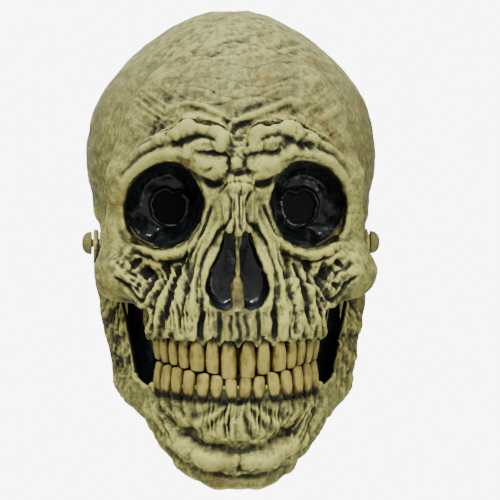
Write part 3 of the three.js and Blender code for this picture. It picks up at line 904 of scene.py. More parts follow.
class Paint:
    """A material under construction."""

    def __init__(self, name: str) -> None:
        """Start a material with one shader."""
        self.material = bpy.data.materials.new(name)
        self.material.use_nodes = True
        self.nodes = self.material.node_tree.nodes
        self.links = self.material.node_tree.links
        self.shader = self.nodes["Principled BSDF"]
        self.place = self.node("ShaderNodeTexCoord", {}, {})["Object"]

    def node(self, kind: str, settings: dict[str, Any], inputs: dict[int | str, Any]) -> Outputs:
        """Add a node.

        Args:
            kind: The node's type.
            settings: The node's own settings, which are set first.
            inputs: Values or wires for its sockets.

        Returns:
            The node's outputs.
        """
        made = self.nodes.new(kind)
        for name, value in settings.items():
            setattr(made, name, value)
        for key, value in inputs.items():
            self.feed(made.inputs[key], value)
        return Outputs(self, made)

    def feed(self, socket: Any, value: Any) -> None:
        """Set a socket to a value, or link a wire to it."""
        if isinstance(value, Wire):
            self.links.new(value.socket, socket)
        elif isinstance(value, tuple) and len(value) == 3 and socket.type == "RGBA":
            socket.default_value = (*value, 1.0)
        else:
            socket.default_value = value

    def noise(
        self, size: float, detail: float = 4.0, rough: float = 0.55, stretch: Point3 = (1, 1, 1)
    ) -> Wire:
        """Smooth random values.

        Args:
            size: The size of the largest blotches, in millimetres.
            detail: Octaves.
            rough: How strong the finer ones are.
            stretch: How much each axis is stretched.

        Returns:
            Values about one half.
        """
        scale = tuple(1.0 / s for s in stretch)
        place = self.node("ShaderNodeMapping", {}, {"Vector": self.place, "Scale": scale})[0]
        inputs = {"Vector": place, "Scale": 1.0 / (size * MM), "Detail": detail, "Roughness": rough}
        return self.node("ShaderNodeTexNoise", {}, inputs)["Fac"]

    def attribute(self, name: str) -> Wire:
        """A value stored on the mesh."""
        return self.node("ShaderNodeAttribute", {"attribute_name": name}, {})["Fac"]

    def mix(self, share: Any, first: Any, second: Any) -> Wire:
        """Mix two colours."""
        settings = {"data_type": "RGBA", "clamp_factor": True}
        return self.node("ShaderNodeMix", settings, {0: share, 6: first, 7: second})[2]

    def bump(self, height: Wire, depth: float, strength: float = 1.0) -> None:
        """Press a height pattern into the surface, to a depth in millimetres."""
        inputs = {"Height": height, "Distance": depth * MM, "Strength": strength}
        self.feed(self.shader.inputs["Normal"], self.node("ShaderNodeBump", {}, inputs)["Normal"])

    def set(self, **values: Any) -> bpy.types.Material:
        """Set the shader's sockets, named with underscores, and give the material."""
        for name, value in values.items():
            self.feed(self.shader.inputs[name.replace("_", " ")], value)
        return self.material


@dataclass(frozen=True)
class BoneLatex:
    """Cream latex, lighter where it stands proud and darker in the hollows: the mask's own dry-brushing and
    dark paint, together with a painted highlight on the proud places and painted shade in the hollows.
    """

    cream: Colour = linear(212, 212, 114)
    crown: Colour = linear(176, 179, 110)
    drab: Colour = linear(116, 114, 70)
    shade: Colour = linear(58, 60, 38)
    wash: Colour = linear(14, 16, 15)
    umber: Colour = linear(134, 104, 44)
    inside: Colour = linear(170, 150, 104)

    def material(self) -> bpy.types.Material:
        """Build the material."""
        paint = Paint("bone_latex")
        near, wide = paint.attribute("near"), paint.attribute("wide")
        relief, grime, inner = (paint.attribute(n) for n in ("relief", "grime", "inner"))
        blotch, fine, speck = paint.noise(30, 5), paint.noise(5, 5, 0.7), paint.noise(1.4, 4, 0.75)
        height = paint.node("ShaderNodeSeparateXYZ", {}, {0: paint.place})["Z"]
        bright = paint.mix((height + blotch * 0.05 - 0.025).between(0.03, 0.12), self.cream, self.crown)
        worn = (fine - 0.5) * 1.7 + (speck - 0.5) * 1.6
        # Lighter on what stands proud: the mask's own dry-brushing together with a painted highlight.
        brushed_and_highlit = near * 1.8 + wide * 0.3 + relief * 0.1 + worn
        bone = paint.mix((brushed_and_highlit - grime * 0.8).between(-0.5, 0.55), self.drab, bright)
        warm = paint.noise(24, 3)
        bone = paint.mix(warm.between(0.52, 0.75) * 0.55, bone, self.umber)
        # Darker in recesses, in hollows and wherever the stored darkening is high, down to near black in the
        # deepest: the mask's own dark paint together with painted shade.
        deep = near * -1.7 + wide * -0.62 + relief * -0.2 + worn * 0.8 + (blotch - 0.5) * 0.8
        share = (deep + grime * 1.2).between(0.08, 1.95)
        bone = paint.mix((share * 1.9).between(0.0, 1.0), bone, self.shade)
        colour = paint.mix(share.between(0.42, 1.0), bone, self.wash)
        colour = paint.mix(inner, colour, self.inside)
        paint.bump(fine * 0.5 + speck * 0.7, 0.9, 0.9)
        return paint.set(
            Base_Color=colour,
            Roughness=0.66 - share * 0.22,
            Specular_IOR_Level=0.22,
        )


@dataclass(frozen=True)
class ToothLatex:
    """Stained ivory, with the dark gum colour on the gum band and at each crown's neck, and painted shade on
    the crowns' sides between them.
    """

    ivory: Colour = linear(186, 172, 84)
    ochre: Colour = linear(112, 92, 34)
    gum: Colour = linear(13, 11, 6)

    def material(self) -> bpy.types.Material:
        """Build the material."""
        paint = Paint("tooth_latex")
        stain = paint.attribute("stain")
        streak = paint.noise(3.2, 4, 0.6, (1, 1, 4))
        blotch = paint.noise(9, 4)
        # Tea-coloured streaks and blotches, with a little of the gum colour and the painted shade mixed in.
        tea_and_shade = streak * 0.6 + blotch * 0.6 + stain * 0.25
        ivory = paint.mix(tea_and_shade.between(0.5, 0.85), self.ivory, self.ochre)
        # The gum colour on the gum band and at the necks, and painted shade on the crowns' sides.
        share = (stain + (streak - 0.5) * 0.8).between(0.3, 1.0)
        paint.bump(streak, 0.35, 0.6)
        return paint.set(
            Base_Color=paint.mix(share, ivory, self.gum),
            Roughness=0.36 + share * 0.3,
            Specular_IOR_Level=0.3,
            Coat_Weight=0.08,
            Coat_Roughness=0.2,
        )


@dataclass(frozen=True)
class BlackLatex:
    """Thin black latex with a wet shine, and pale blue-grey patches on its raised folds, partly the latex's
    own haze and partly a painted sheen.
    """

    black: Colour = linear(20, 25, 26)
    bloom_and_sheen: Colour = linear(74, 88, 90)

    def material(self) -> bpy.types.Material:
        """Build the material."""
        paint = Paint("black_latex")
        soft, fine = paint.noise(14, 4), paint.noise(3.5, 3)
        paint.bump(soft * 0.7 + fine * 0.3, 1.2, 0.7)
        return paint.set(
            # Pale blue-grey on the raised folds: the latex's own haze together with a painted sheen.
            Base_Color=paint.mix(soft.between(0.5, 0.75) * 0.5, self.black, self.bloom_and_sheen),
            Roughness=0.2 + fine * 0.16,
            Specular_IOR_Level=0.5,
            Coat_Weight=0.5,
            Coat_Roughness=0.1,
        )


class Weave(Enum):
    """How a cloth is woven: threads per millimetre across and along, and how deep they stand."""

    WEBBING = (0.9, 0.55, 0.35)
    ELASTIC = (0.55, 1.3, 0.3)
    GAUZE = (1.5, 1.5, 0.3)
    NET = (1.0, 1.0, 0.45)
    HOOK = (1.1, 1.1, 0.8)
    LOOP = (2.2, 2.2, 0.6)


@dataclass(frozen=True)
class Cloth:
    """Woven or knitted tape."""

    name: str
    weave: Weave
    thread: Colour
    shadow: Colour

    def material(self) -> bpy.types.Material:
        """Build the material."""
        paint = Paint(self.name)
        across, along, depth = self.weave.value
        parts = paint.node("ShaderNodeSeparateXYZ", {}, {0: paint.place})
        turns = 2 * math.pi / MM
        warp, weft = (parts["X"] * (across * turns)).sine(), (parts["Z"] * (along * turns)).sine()
        fuzz = paint.noise(0.8, 3, 0.7)
        height = warp * weft * 0.5 + fuzz * 0.5
        paint.bump(height, depth, 0.9)
        return paint.set(
            Base_Color=paint.mix(height.between(-0.2, 0.6), self.shadow, self.thread),
            Roughness=0.88,
            Sheen_Weight=0.25,
            Sheen_Roughness=0.5,
        )


@dataclass(frozen=True)
class Foam:
    """Open-cell foam."""

    grey: Colour = linear(74, 75, 78)
    pore_shade: Colour = linear(24, 24, 26)

    def material(self) -> bpy.types.Material:
        """Build the material."""
        paint = Paint("foam")
        cells = paint.node("ShaderNodeTexVoronoi", {}, {"Vector": paint.place, "Scale": 620.0})["Distance"]
        fine = paint.noise(1.1, 3)
        height = cells * 0.8 + fine * 0.3
        paint.bump(height, 0.7)
        # Painted shade in the pores, where the bump is low.
        colour = paint.mix(height.between(0.25, 0.75), self.pore_shade, self.grey)
        return paint.set(Base_Color=colour, Roughness=0.95, Sheen_Weight=0.2)


@dataclass(frozen=True)
class Plain:
    """A smooth moulded or metal finish."""

    name: str
    colour: Colour
    dark: Colour
    roughness: float
    metallic: float = 0.0

    def material(self) -> bpy.types.Material:
        """Build the material."""
        paint = Paint(self.name)
        worn = paint.noise(2.4, 4)
        paint.bump(worn, 0.08, 0.5)
        return paint.set(
            Base_Color=paint.mix(worn.between(0.45, 0.75) * 0.6, self.colour, self.dark),
            Roughness=self.roughness + (worn - 0.5) * 0.15,
            Metallic=self.metallic,
        )


class Finish(Enum):
    """The finishes of the mask, each by its slot in the record."""

    BONE = ("bone_latex", BoneLatex())
    TOOTH = ("tooth_latex", ToothLatex())
    BLACK = ("black_latex", BlackLatex())
    NET = ("black_gauze", Cloth("black_gauze", Weave.NET, linear(30, 30, 32), linear(3, 3, 3)))
    FOAM = ("foam", Foam())
    WEBBING = ("webbing", Cloth("webbing", Weave.WEBBING, linear(44, 44, 47), linear(12, 12, 13)))
    HOOKS = ("webbing", Cloth("hook_tape", Weave.HOOK, linear(52, 52, 55), linear(8, 8, 9)))
    LOOPS = ("webbing", Cloth("loop_tape", Weave.LOOP, linear(60, 60, 62), linear(18, 18, 19)))
    ELASTIC = ("elastic", Cloth("elastic", Weave.ELASTIC, linear(48, 48, 50), linear(10, 10, 10)))
    GAUZE = ("gauze_tape", Cloth("gauze_tape", Weave.GAUZE, linear(222, 216, 196), linear(150, 142, 118)))
    NYLON = ("nylon", Plain("nylon", linear(226, 224, 215), linear(170, 166, 150), 0.45))
    NICKEL = ("nickel", Plain("nickel", linear(196, 196, 198), linear(90, 88, 86), 0.3, 0.95))
    CAP = ("painted_cap", BoneLatex(cream=linear(160, 156, 98)))


class Dresser:
    """Gives finished meshes their material and body, hides the node that each stands for, and logs its faces.
    """

    def __init__(self) -> None:
        """Start with no materials made."""
        self.made: dict[Finish, bpy.types.Material] = {}

    def material(self, finish: Finish) -> bpy.types.Material:
        """A finish's material, made once."""
        if finish not in self.made:
            self.made[finish] = finish.value[1].material()
        return self.made[finish]

    def dress(self, piece: Piece, finish: Finish, body: Body | None, node: str | None = None) -> Piece:
        """Finish a piece.

        Args:
            piece: The object.
            finish: What it is made of.
            body: The body that it rides, or None to attach it to no body.
            node: The node that it stands for, if its name differs.

        Returns:
            The same object.
        """
        if not piece.data.materials:
            piece.data.materials.append(self.material(finish))
        if body is not None:
            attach(piece, body.value)
        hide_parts(node or piece.name.split(".")[0])
        LOG.info("%s: %d faces in %s", piece.name, len(piece.data.polygons), finish.value[0])
        return piece


# ---- The head casting ----


@dataclass(frozen=True)
class Disc:
    """A round bar along X from one place to another."""

    span: Point2
    radius: float
    blend: float = 3.0

    def bounds(self, margin: float) -> tuple[Array, Array]:
        """The form's lowest and highest corners, grown by a margin."""
        wide = self.radius + margin
        low, high = self.span
        return np.array([low - margin, -wide, -wide]), np.array([high + margin, wide, wide])

    def distance(self, x: Array, y: Array, z: Array) -> Array:
        """The distance from the form's surface, below 0 inside."""
        middle, half = sum(self.span) / 2, (self.span[1] - self.span[0]) / 2
        return np.maximum(np.sqrt(y * y + z * z) - self.radius, np.abs(x - middle) - half)


@dataclass
class HeadCasting:
    """The latex skull casting that goes over the whole head."""

    wall: float = 3.5
    cell: float = 1.15
    triangles: int = 188000
    gum_line: float = -49.0
    cheek_edge: Point2 = (56.0, -32.0)
    neck_front: float = -12.0
    neck_rim: Point2 = (-98.0, 0.24)
    slit: Point2 = (2.0, -8.0)
    pivot_hole: float = 3.0
    nose_back: float = -45.0
    nearest: float = 10.0
    farthest: float = 150.0
    papillae: tuple[float, ...] = (0, 12, 23, 34, 43, 53, 62, 75)
    socket: tuple[Point2, ...] = (
        (20.5, 34), (24.5, 47), (32.5, 56), (44, 57.8), (56, 53), (65.5, 42.5),
        (68.8, 29), (66, 16.5), (57, 7.5), (44.5, 5.2), (32.5, 9.5), (24, 20),
    )
    nostril: tuple[Point2, ...] = (
        (-3, 19), (1.5, 19.5), (5.5, 16.5), (9, 9), (13, 0), (16.8, -8), (18.8, -15), (18.2, -22),
        (14.5, -28), (9, -30.5), (4, -28.5), (1, -25.5), (-3, -25),
    )
    clay: Clay = field(init=False)
    outer: Array = field(init=False)

    def forms(self) -> list[Egg | Ridge]:
        """The forms of the wearer's left half, and those on the middle."""
        return [
            Egg((0, -34, 58), (76, 86, 85), 24),
            Egg((0, 22, 12), (81.5, 90, 78), 12),
            Egg((69, -74, -12), (20.5, 23, 19), 10),
            Egg((28, -92, -32), (33, 30, 32), 12),
            Ridge(((10, -117, 61, 7), (20, -119, 66, 8.5), (34, -116, 70, 8), (54, -103, 63, 7.5),
                   (70, -84, 49, 7), (74, -76, 26, 6.5), (73, -77, 4, 7)), 9),
            Ridge(((69, -86, -1, 7), (47, -101, 0, 7), (27, -110, 8, 6), (19, -113, 22, 5)), 9),
            Ridge(((76, -58, 2, 7), (81, -24, 20, 7), (82, 10, 24, 6)), 10),
            Ridge(((0, -113, 58, 11), (0, -124, 24, 7)), 10),
            Ridge(((13, -110, 46, 7.5), (18, -115, 12, 7), (23, -118, -14, 7), (25, -118, -28, 7)), 9),
            Ridge(((68, -78, 50, 6), (62, -78, 72, 4.6), (57, -80, 92, 3.6), (49, -86, 108, 3)), 20),
            Ridge(((4, -124, 64, 5), (16, -123, 73, 5.5), (30, -119, 77, 5), (44, -112, 72, 4)), 8),
            Ridge(((70, -90, -12, 6), (60, -97, -20, 6), (50, -104, -34, 5)), 10),
            Ridge(((30, -118, -20, 4), (31, -121, -46, 5)), 7),
            Ridge(((0, -124, 22, 3.6), (0, -120.5, 8, 3.0), (0, -119, -8, 2.6)), 1.5),
            Ridge(((0, -118, -14, 3.0), (0, -121, -24, 4.2), (0, -125, -34, 4.0), (0, -127, -48, 2.5)), 4),
        ]

    def strokes(self) -> list[Mark]:
        """The relief of the face and the crown."""
        roots = [
            Stroke(((x, -30), (x * 1.02, -38), (x * 1.04, -50)), 1.5, -1.5)
            for x in (0.5, 11.5, 21.5, 31, 39, 46.5, 51.5)
        ]
        knuckles = [
            Stroke(((x, -34), (x * 1.02, -42), (x * 1.04, -51)), 2.2, 1.0)
            for x in (6, 16.5, 26.5, 35.5, 43, 49)
        ]
        places = range(-40, 41, 10)
        lines = (
            tuple((x, z + rise * (1 - (x / 44) ** 2) + 3 * math.sin(0.11 * x + z)) for x in places)
            for z, rise in ((101, -5), (105, -5), (110, -3), (117, 2), (127, 3))
        )
        wrinkles = [Stroke(line, 0.8, -0.4, both_sides=False) for line in lines]
        folds = [
            Stroke(line, width, lift)
            for line, width, lift in (
                (((22, -8), (22, -20), (22.5, -33), (24, -47)), 1.5, -2.4),
                (((25, -4), (27, -18), (29.5, -32), (31, -47)), 1.9, 2.0),
                (((28, -2), (31.5, -16), (34.5, -31), (36, -47)), 1.5, -2.6),
                (((31, -3), (35.5, -16), (39, -30), (40.5, -46)), 1.9, 2.1),
                (((34, -4), (39, -16), (43.5, -31), (45, -46)), 1.5, -2.6),
                (((38, -6), (43.5, -18), (48, -32), (50, -46)), 1.8, 2.0),
                (((41, -9), (48, -20), (52, -33), (54, -46)), 1.5, -2.4),
                (((48, -10), (53, -18), (57, -25), (60, -29)), 1.6, -2.0),
            )
        ]
        return [
            # The crease over the brows.
            Stroke(((-44, 91), (-33.5, 94), (-22.6, 93.4), (-9.8, 87.4), (-2.4, 85), (8.5, 86.7),
                    (21.3, 91.6), (32.3, 95.9), (43, 94)), 1.9, 2.2, both_sides=False),
            Stroke(((-46, 96.5), (-33, 99.5), (-21, 98.6), (-9, 92.8), (-1.5, 90.4), (9.5, 92.2),
                    (22, 97), (33, 101)), 2.6, -1.0, both_sides=False),
            Stroke(((-36, 89.5), (-24, 90), (-9, 83.5), (-1, 80.5), (8, 83), (22, 88), (32, 92)),
                   2.4, -1.8, both_sides=False),
            *wrinkles,
            *folds,
            # The folded brows.
            Stroke(((42, 75.5), (36, 80), (28, 84.5), (20, 86.5), (13, 84), (9.5, 77), (10, 70.5),
                    (15, 68.5)), 4.8, 4.8),
            Mound((17, 80), (8, 5), 2.0),
            Stroke(((41, 68), (35, 71), (28.5, 74.5), (22, 76.5), (16.5, 75.5), (13.5, 72)), 2.3, -3.6),
            Stroke(((27, 66.5), (20, 64.6), (13, 64.8), (6, 63.6)), 1.8, -2.4),
            Mound((17, 56), (12.5, 8.5), 5.4),
            Stroke(((13, 58.5), (19, 56.5), (23, 58)), 1.2, -1.6),
            Stroke(((28, 57), (23, 49.5), (15, 46), (9, 48)), 2.2, -2.6),
            Stroke(((26, 62), (35, 64.5), (46, 64), (57, 59.5), (66, 51), (71, 40)), 2.6, 2.6),
            Stroke(((33, 69), (42, 70), (54, 66.5), (64, 58), (71, 47)), 3.0, -2.0),
            Stroke(((44, 76), (54, 72), (62, 65)), 2.2, 1.4),
            Mound((-1.2, 59), (4.4, 3.6), 3.0, both_sides=False),
            Mound((1, 46.5), (9.5, 5.5), 3.2, both_sides=False),
            Mound((0, 76), (7, 9), 1.2, both_sides=False),
            Stroke(((-9, 66), (-6, 62), (-4.5, 57), (-8, 51)), 1.5, -1.8, both_sides=False),
            Stroke(((9, 66), (5.5, 62), (4, 57), (9, 51)), 1.5, -1.7, both_sides=False),
            Lumps((0, 76), (14, 16), 4.0, 1.2),
            Stroke(((-8, 54.5), (-1, 53), (8, 54)), 1.2, -1.1, both_sides=False),
            Stroke(((-12, 40), (-8, 46), (0, 48.5), (8, 46), (12.5, 40)), 1.1, -1.4, both_sides=False),
            # The rims of the sockets.
            Stroke(((18, 33), (22, 48), (31, 58.5), (44, 60.5), (58, 55.5), (68, 44)), 1.6, 1.3),
            Stroke(((71.5, 30), (69, 14), (58, 4.5), (44, 2.4), (31, 6.5), (21.5, 17)), 1.7, 1.5),
            Stroke(((66, 4), (56, -1), (44, -3), (33, 0), (24, 8)), 1.4, -1.6),
            # The bridge and the sides of the nose.
            Stroke(((8.5, 43.5), (4.3, 36), (4.9, 27), (11, 16.7), (17, 8)), 1.5, -2.2),
            Stroke(((16.5, 34), (20.7, 21), (26, 12)), 1.3, -1.9),
            Stroke(((12.5, 36), (11.5, 26), (15.5, 16), (20, 6)), 1.8, 1.1),
            Stroke(((3.5, 21), (9, 15), (14, 4), (19, -6), (21.5, -16), (20.5, -24), (15, -31)), 1.7, 1.9),
            Stroke(((12, 19), (17.5, 8), (22.5, -4), (25.5, -16), (24.5, -27)), 1.3, -1.6),
            Stroke(((25, 4), (28, -8), (30, -20), (29, -30)), 1.2, -1.2),
            Stroke(((0, -31), (0, -37), (0, -46)), 2.0, 1.6, both_sides=False, firm_ends=True),
            Stroke(((4, -33), (5, -40), (5, -48)), 1.3, -1.5),
            # Pits and creases under the sockets.
            Stroke(((43, -4.5), (43.4, -6.4)), 2.3, -4.2, firm_ends=True),
            Stroke(((35, -8), (39, -13), (45, -16)), 1.2, -1.6),
            Stroke(((72, -4), (67, -9), (60, -11)), 1.3, -2.0),
            Stroke(((77, -13), (70, -17), (64, -24), (58, -28)), 1.4, -2.2),
            Stroke(((62, -4), (65, -7)), 1.7, -2.4, firm_ends=True),
            Stroke(((53, -10), (55, -13)), 1.5, -2.0, firm_ends=True),
            Stroke(((60, -17), (62, -19)), 1.6, -2.0, firm_ends=True),
            Stroke(((48, -20), (53, -26), (55, -34)), 1.5, -1.8),
            *roots,
            *knuckles,
            Fibres((42, -14), (26, 17), 26, 0.004, 3.0, 0.75),
            Fibres((36, -36), (26, 15), 8, -0.003, 2.6, 1.0),
            Fibres((66, -13), (15, 15), 48, 0.01, 3.4, 0.6),
            Fibres((28, 4), (14, 17), -18, 0.006, 2.8, 0.8),
            Fibres((0, 30), (13, 26), 0, 0.0, 2.4, 0.7),
            Fibres((0, 120), (70, 40), 84, 0.001, 5.0, 0.3, both_sides=False),
            Fibres((52, 92), (26, 28), 60, 0.003, 3.6, 0.3),
            Lumps((64, -8), (20, 18), 9.0, 2.2),
            Lumps((30, 74), (36, 20), 7.0, 1.5),
            Lumps((0, 55), (18, 18), 5.0, 1.3),
            Lumps((40, -28), (30, 26), 6.0, 1.4),
            Lumps((0, 115), (90, 50), 4.0, 0.35),
        ]

    def sculpt(self) -> None:
        """Build the solid field, hollow it and cut it open."""
        clay = Clay((-106, -140, -124), (106, 122, 160), self.cell)
        clay.add(Egg((0, 6, 58), (95, 107, 94), 0))
        for form in self.forms():
            clay.add(form)
            if not (isinstance(form, Egg) and form.centre[0] == 0):
                clay.add(mirrored(form))
        clay.add(Column((0, 24), (79, 74), (-130, -10), 10, 12))
        clay.add(Column((0, -74), (54, 56), (-74, -26), 6, 10))
        self.clay = clay
        clay.trim(self.beside_mouth(-1.0, -76.0), 1.0)
        self.outer = clay.depth.copy()
        clay.hollow(self.wall)
        face, seat = extent("left_pivot_washer")[0][0] - 0.4, extent("left_pivot_nut")[1][0] + 0.4
        for span in ((seat, face), (-face, -seat)):
            clay.add(Disc(span, 10.5))
        self.open_up()
        for span in ((60.0, 110.0), (-110.0, -60.0)):
            clay.cut(Disc(span, self.pivot_hole, 0.6), 0.6)

    def beside_mouth(self, out: float, back: float) -> Array:
        """The space under each cheekbone, outside the upper jaw.

        Args:
            out: How much farther out than the finished edge it starts.
            back: The y it ends at.

        Returns:
            Distances, negative inside it.
        """
        x, y, z = self.clay.x, self.clay.y, self.clay.z
        edge, top = self.cheek_edge
        swerve = edge + out + 2.0 * np.sin(z * 0.21) + np.maximum(0, z + 60) * 0.05
        return np.maximum(np.maximum(swerve - np.abs(x), z - top), y - back)

    def open_up(self) -> None:
        """Cut the mouth, the cheeks, the neck, the slit, the sockets and the nose."""
        clay = self.clay
        x, y, z = clay.x, clay.y, clay.z
        angle = np.degrees(np.arctan2(np.abs(x), -(y + 74)))
        gum = self.gum_line - sum(4.4 * np.exp(-(((angle - b) / 2.3) ** 2)) for b in self.papillae)
        clay.trim(np.maximum(z - gum, y - self.neck_front), 1.2)
        clay.trim(self.beside_mouth(0.0, self.neck_front), 1.6)
        rim, rise = self.neck_rim
        clay.trim((z - (rim + rise * (y - self.neck_front))) / math.hypot(1, rise) + 0 * x, 1.0)
        width, high = self.slit
        clay.trim(np.maximum(np.maximum(np.abs(x) - width / 2, z - high), 24 - y), 0.5)
        flat_x, flat_z = np.broadcast_arrays(np.abs(x[:, 0, :]), z[:, 0, :])
        socket = to_outline(rounded(self.socket, 72), flat_x, flat_z)
        clay.trim(np.maximum(socket[:, None, :], y - self.nose_back), 2.4)
        nose = to_outline(rounded(self.nostril, 78), flat_x, flat_z)
        septum = 2.3 - 1.0 * np.exp(-(((flat_z + 10) / 2.6) ** 2)) + 2.0 * ease(-12, -20, flat_z)
        nose = np.maximum(nose, septum - flat_x)
        clay.trim(np.maximum(nose[:, None, :], y - self.nose_back), 1.4)

    def sample(self, points: Array) -> Array:
        """How far points are outside the outer skin, below zero inside it."""
        place = np.clip((points - self.clay.low) / self.clay.cell, 0, self.clay.counts - 1.001)
        cell = place.astype(int)
        part = place - cell
        total = np.zeros(len(points))
        for corner in np.ndindex(2, 2, 2):
            weight = np.prod(np.where(corner, part, 1 - part), axis=1)
            total += self.outer[tuple((cell + corner).T)] * weight
        return total

    def reach(self, starts: Array, ways: Array | Point3, depth: float) -> Array:
        """Find the outer skin from inside.

        Args:
            starts: A place inside the head per row.
            ways: A unit direction per row, or one for all.
            depth: How far under the outer skin to stop. A negative depth stops off the skin.

        Returns:
            The points found.
        """
        steps = np.arange(self.nearest, self.farthest, 0.75)
        ways = np.broadcast_to(np.array(ways, float), starts.shape)
        places = starts[:, None] + ways[:, None] * steps[None, :, None]
        inside = self.sample(places.reshape(-1, 3)).reshape(len(starts), -1) + depth < 0
        last = len(steps) - 1 - inside[:, ::-1].argmax(axis=1)
        return starts + ways * (steps[last] + 0.4)[:, None]

    def build(self, dresser: Dresser) -> Piece:
        """Make the finished casting."""
        self.sculpt()
        points, triangles = self.clay.mesh()
        if inside_out(points, triangles):
            triangles = triangles[:, ::-1]
        normals = normals_of(points, triangles)
        skin = ease(-self.wall * 0.8, -self.wall * 0.3, self.sample(points))
        relief = Relief(11)
        height = np.zeros(len(points))
        facing = ease(0.05, 0.5, -normals[:, 1]) * skin
        front = np.where(facing > 0)[0]
        height[front] = relief.height(points[front], self.strokes()) * facing[front]
        behind = ease(0.05, 0.5, normals[:, 1]) * (1 - skin)
        back = np.where((behind > 0) & (points[:, 1] < -40))[0]
        height[back] = -np.minimum(relief.height(points[back], self.strokes()) + 1.0, 0) * behind[back]
        outside = np.where(skin > 0)[0]
        grain, seen = Grain(5), points[outside]
        brushed_and_highlit = grain.at(seen, (22, 22, 5)) * ease(0, -60, seen[:, 1])
        height[outside] += (grain.layers(seen, 15.0, 4) * 0.9 + brushed_and_highlit * 0.5) * skin[outside]
        points = points + normals * np.clip(height, -5, 5)[:, None]
        peak = np.clip((points[:, 2] - 80) / 70, 0, 1)
        points[:, 0] /= 1 + 0.17 * peak**2
        piece = mesh_object("skull_skin", points, triangles)
        loose = 1 - 0.85 * facing * ease(130, 90, points[:, 2])
        thinned(piece, self.triangles, np.maximum(loose, 1 - skin))
        self.note_paint(piece, relief)
        return dresser.dress(outward(piece), Finish.BONE, Body.HEAD)

    def note_paint(self, piece: Piece, relief: Relief) -> None:
        """Store on the mesh what the paint reads: the relief, the inside, and a darkening that is partly the
        mask's own dark paint and partly painted shade.
        """
        note_recesses(piece)
        points, normals = vertices_of(piece), vertex_normals(piece)
        out = self.sample(points + normals * 1.5) - self.sample(points - normals * 1.5)
        skin = ease(-1.2, 0.6, out)
        # How closely the outer skin closes round a vertex within 15 mm, which gives painted shade in the
        # broad hollows.
        hollow = ease(0.08, 0.62, 1 - self.sample(points + normals * 15.0) / 15.0) * skin
        facing = ease(0.05, 0.5, -normals[:, 1]) * skin
        height = relief.height(points, self.strokes()) * facing
        x, y, z = np.abs(points[:, 0]), points[:, 1], points[:, 2]
        socket = to_outline(rounded(self.socket, 48), x, z)
        nose = to_outline(rounded(self.nostril, 52), x, z)
        front = ease(-40, -60, y)
        # Darker round the rims of the sockets and the nose opening, and along the gum line.
        grime = front * np.maximum(ease(3.2, 0.3, socket), ease(2.6, 0.2, nose)) * 0.8
        grime = np.maximum(grime, front * ease(-44, -51, z) * ease(-60, -70, y) * 0.75)
        # Darker on the cheek beside each cleft, and painted shade under each cheekbone.
        grime = np.maximum(grime, ease(8, 0, np.abs(x - 62)) * ease(-22, -30, z) * front * 0.8)
        shade = 0.35 * ease(18, 6, np.hypot(x - 64, z + 24))
        grime = np.maximum(grime, shade * front)
        # A little darkening everywhere, and painted shade in the broad hollows.
        grime = np.maximum(grime, 0.12) + 0.6 * hollow * front
        # Darker towards the back of the head and at its sides.
        grime = grime + 0.16 * ease(-10, 60, y) + 0.22 * ease(68, 92, x)
        store(piece, relief=height, grime=grime, inner=1 - skin)


# ---- The jaw casting ----


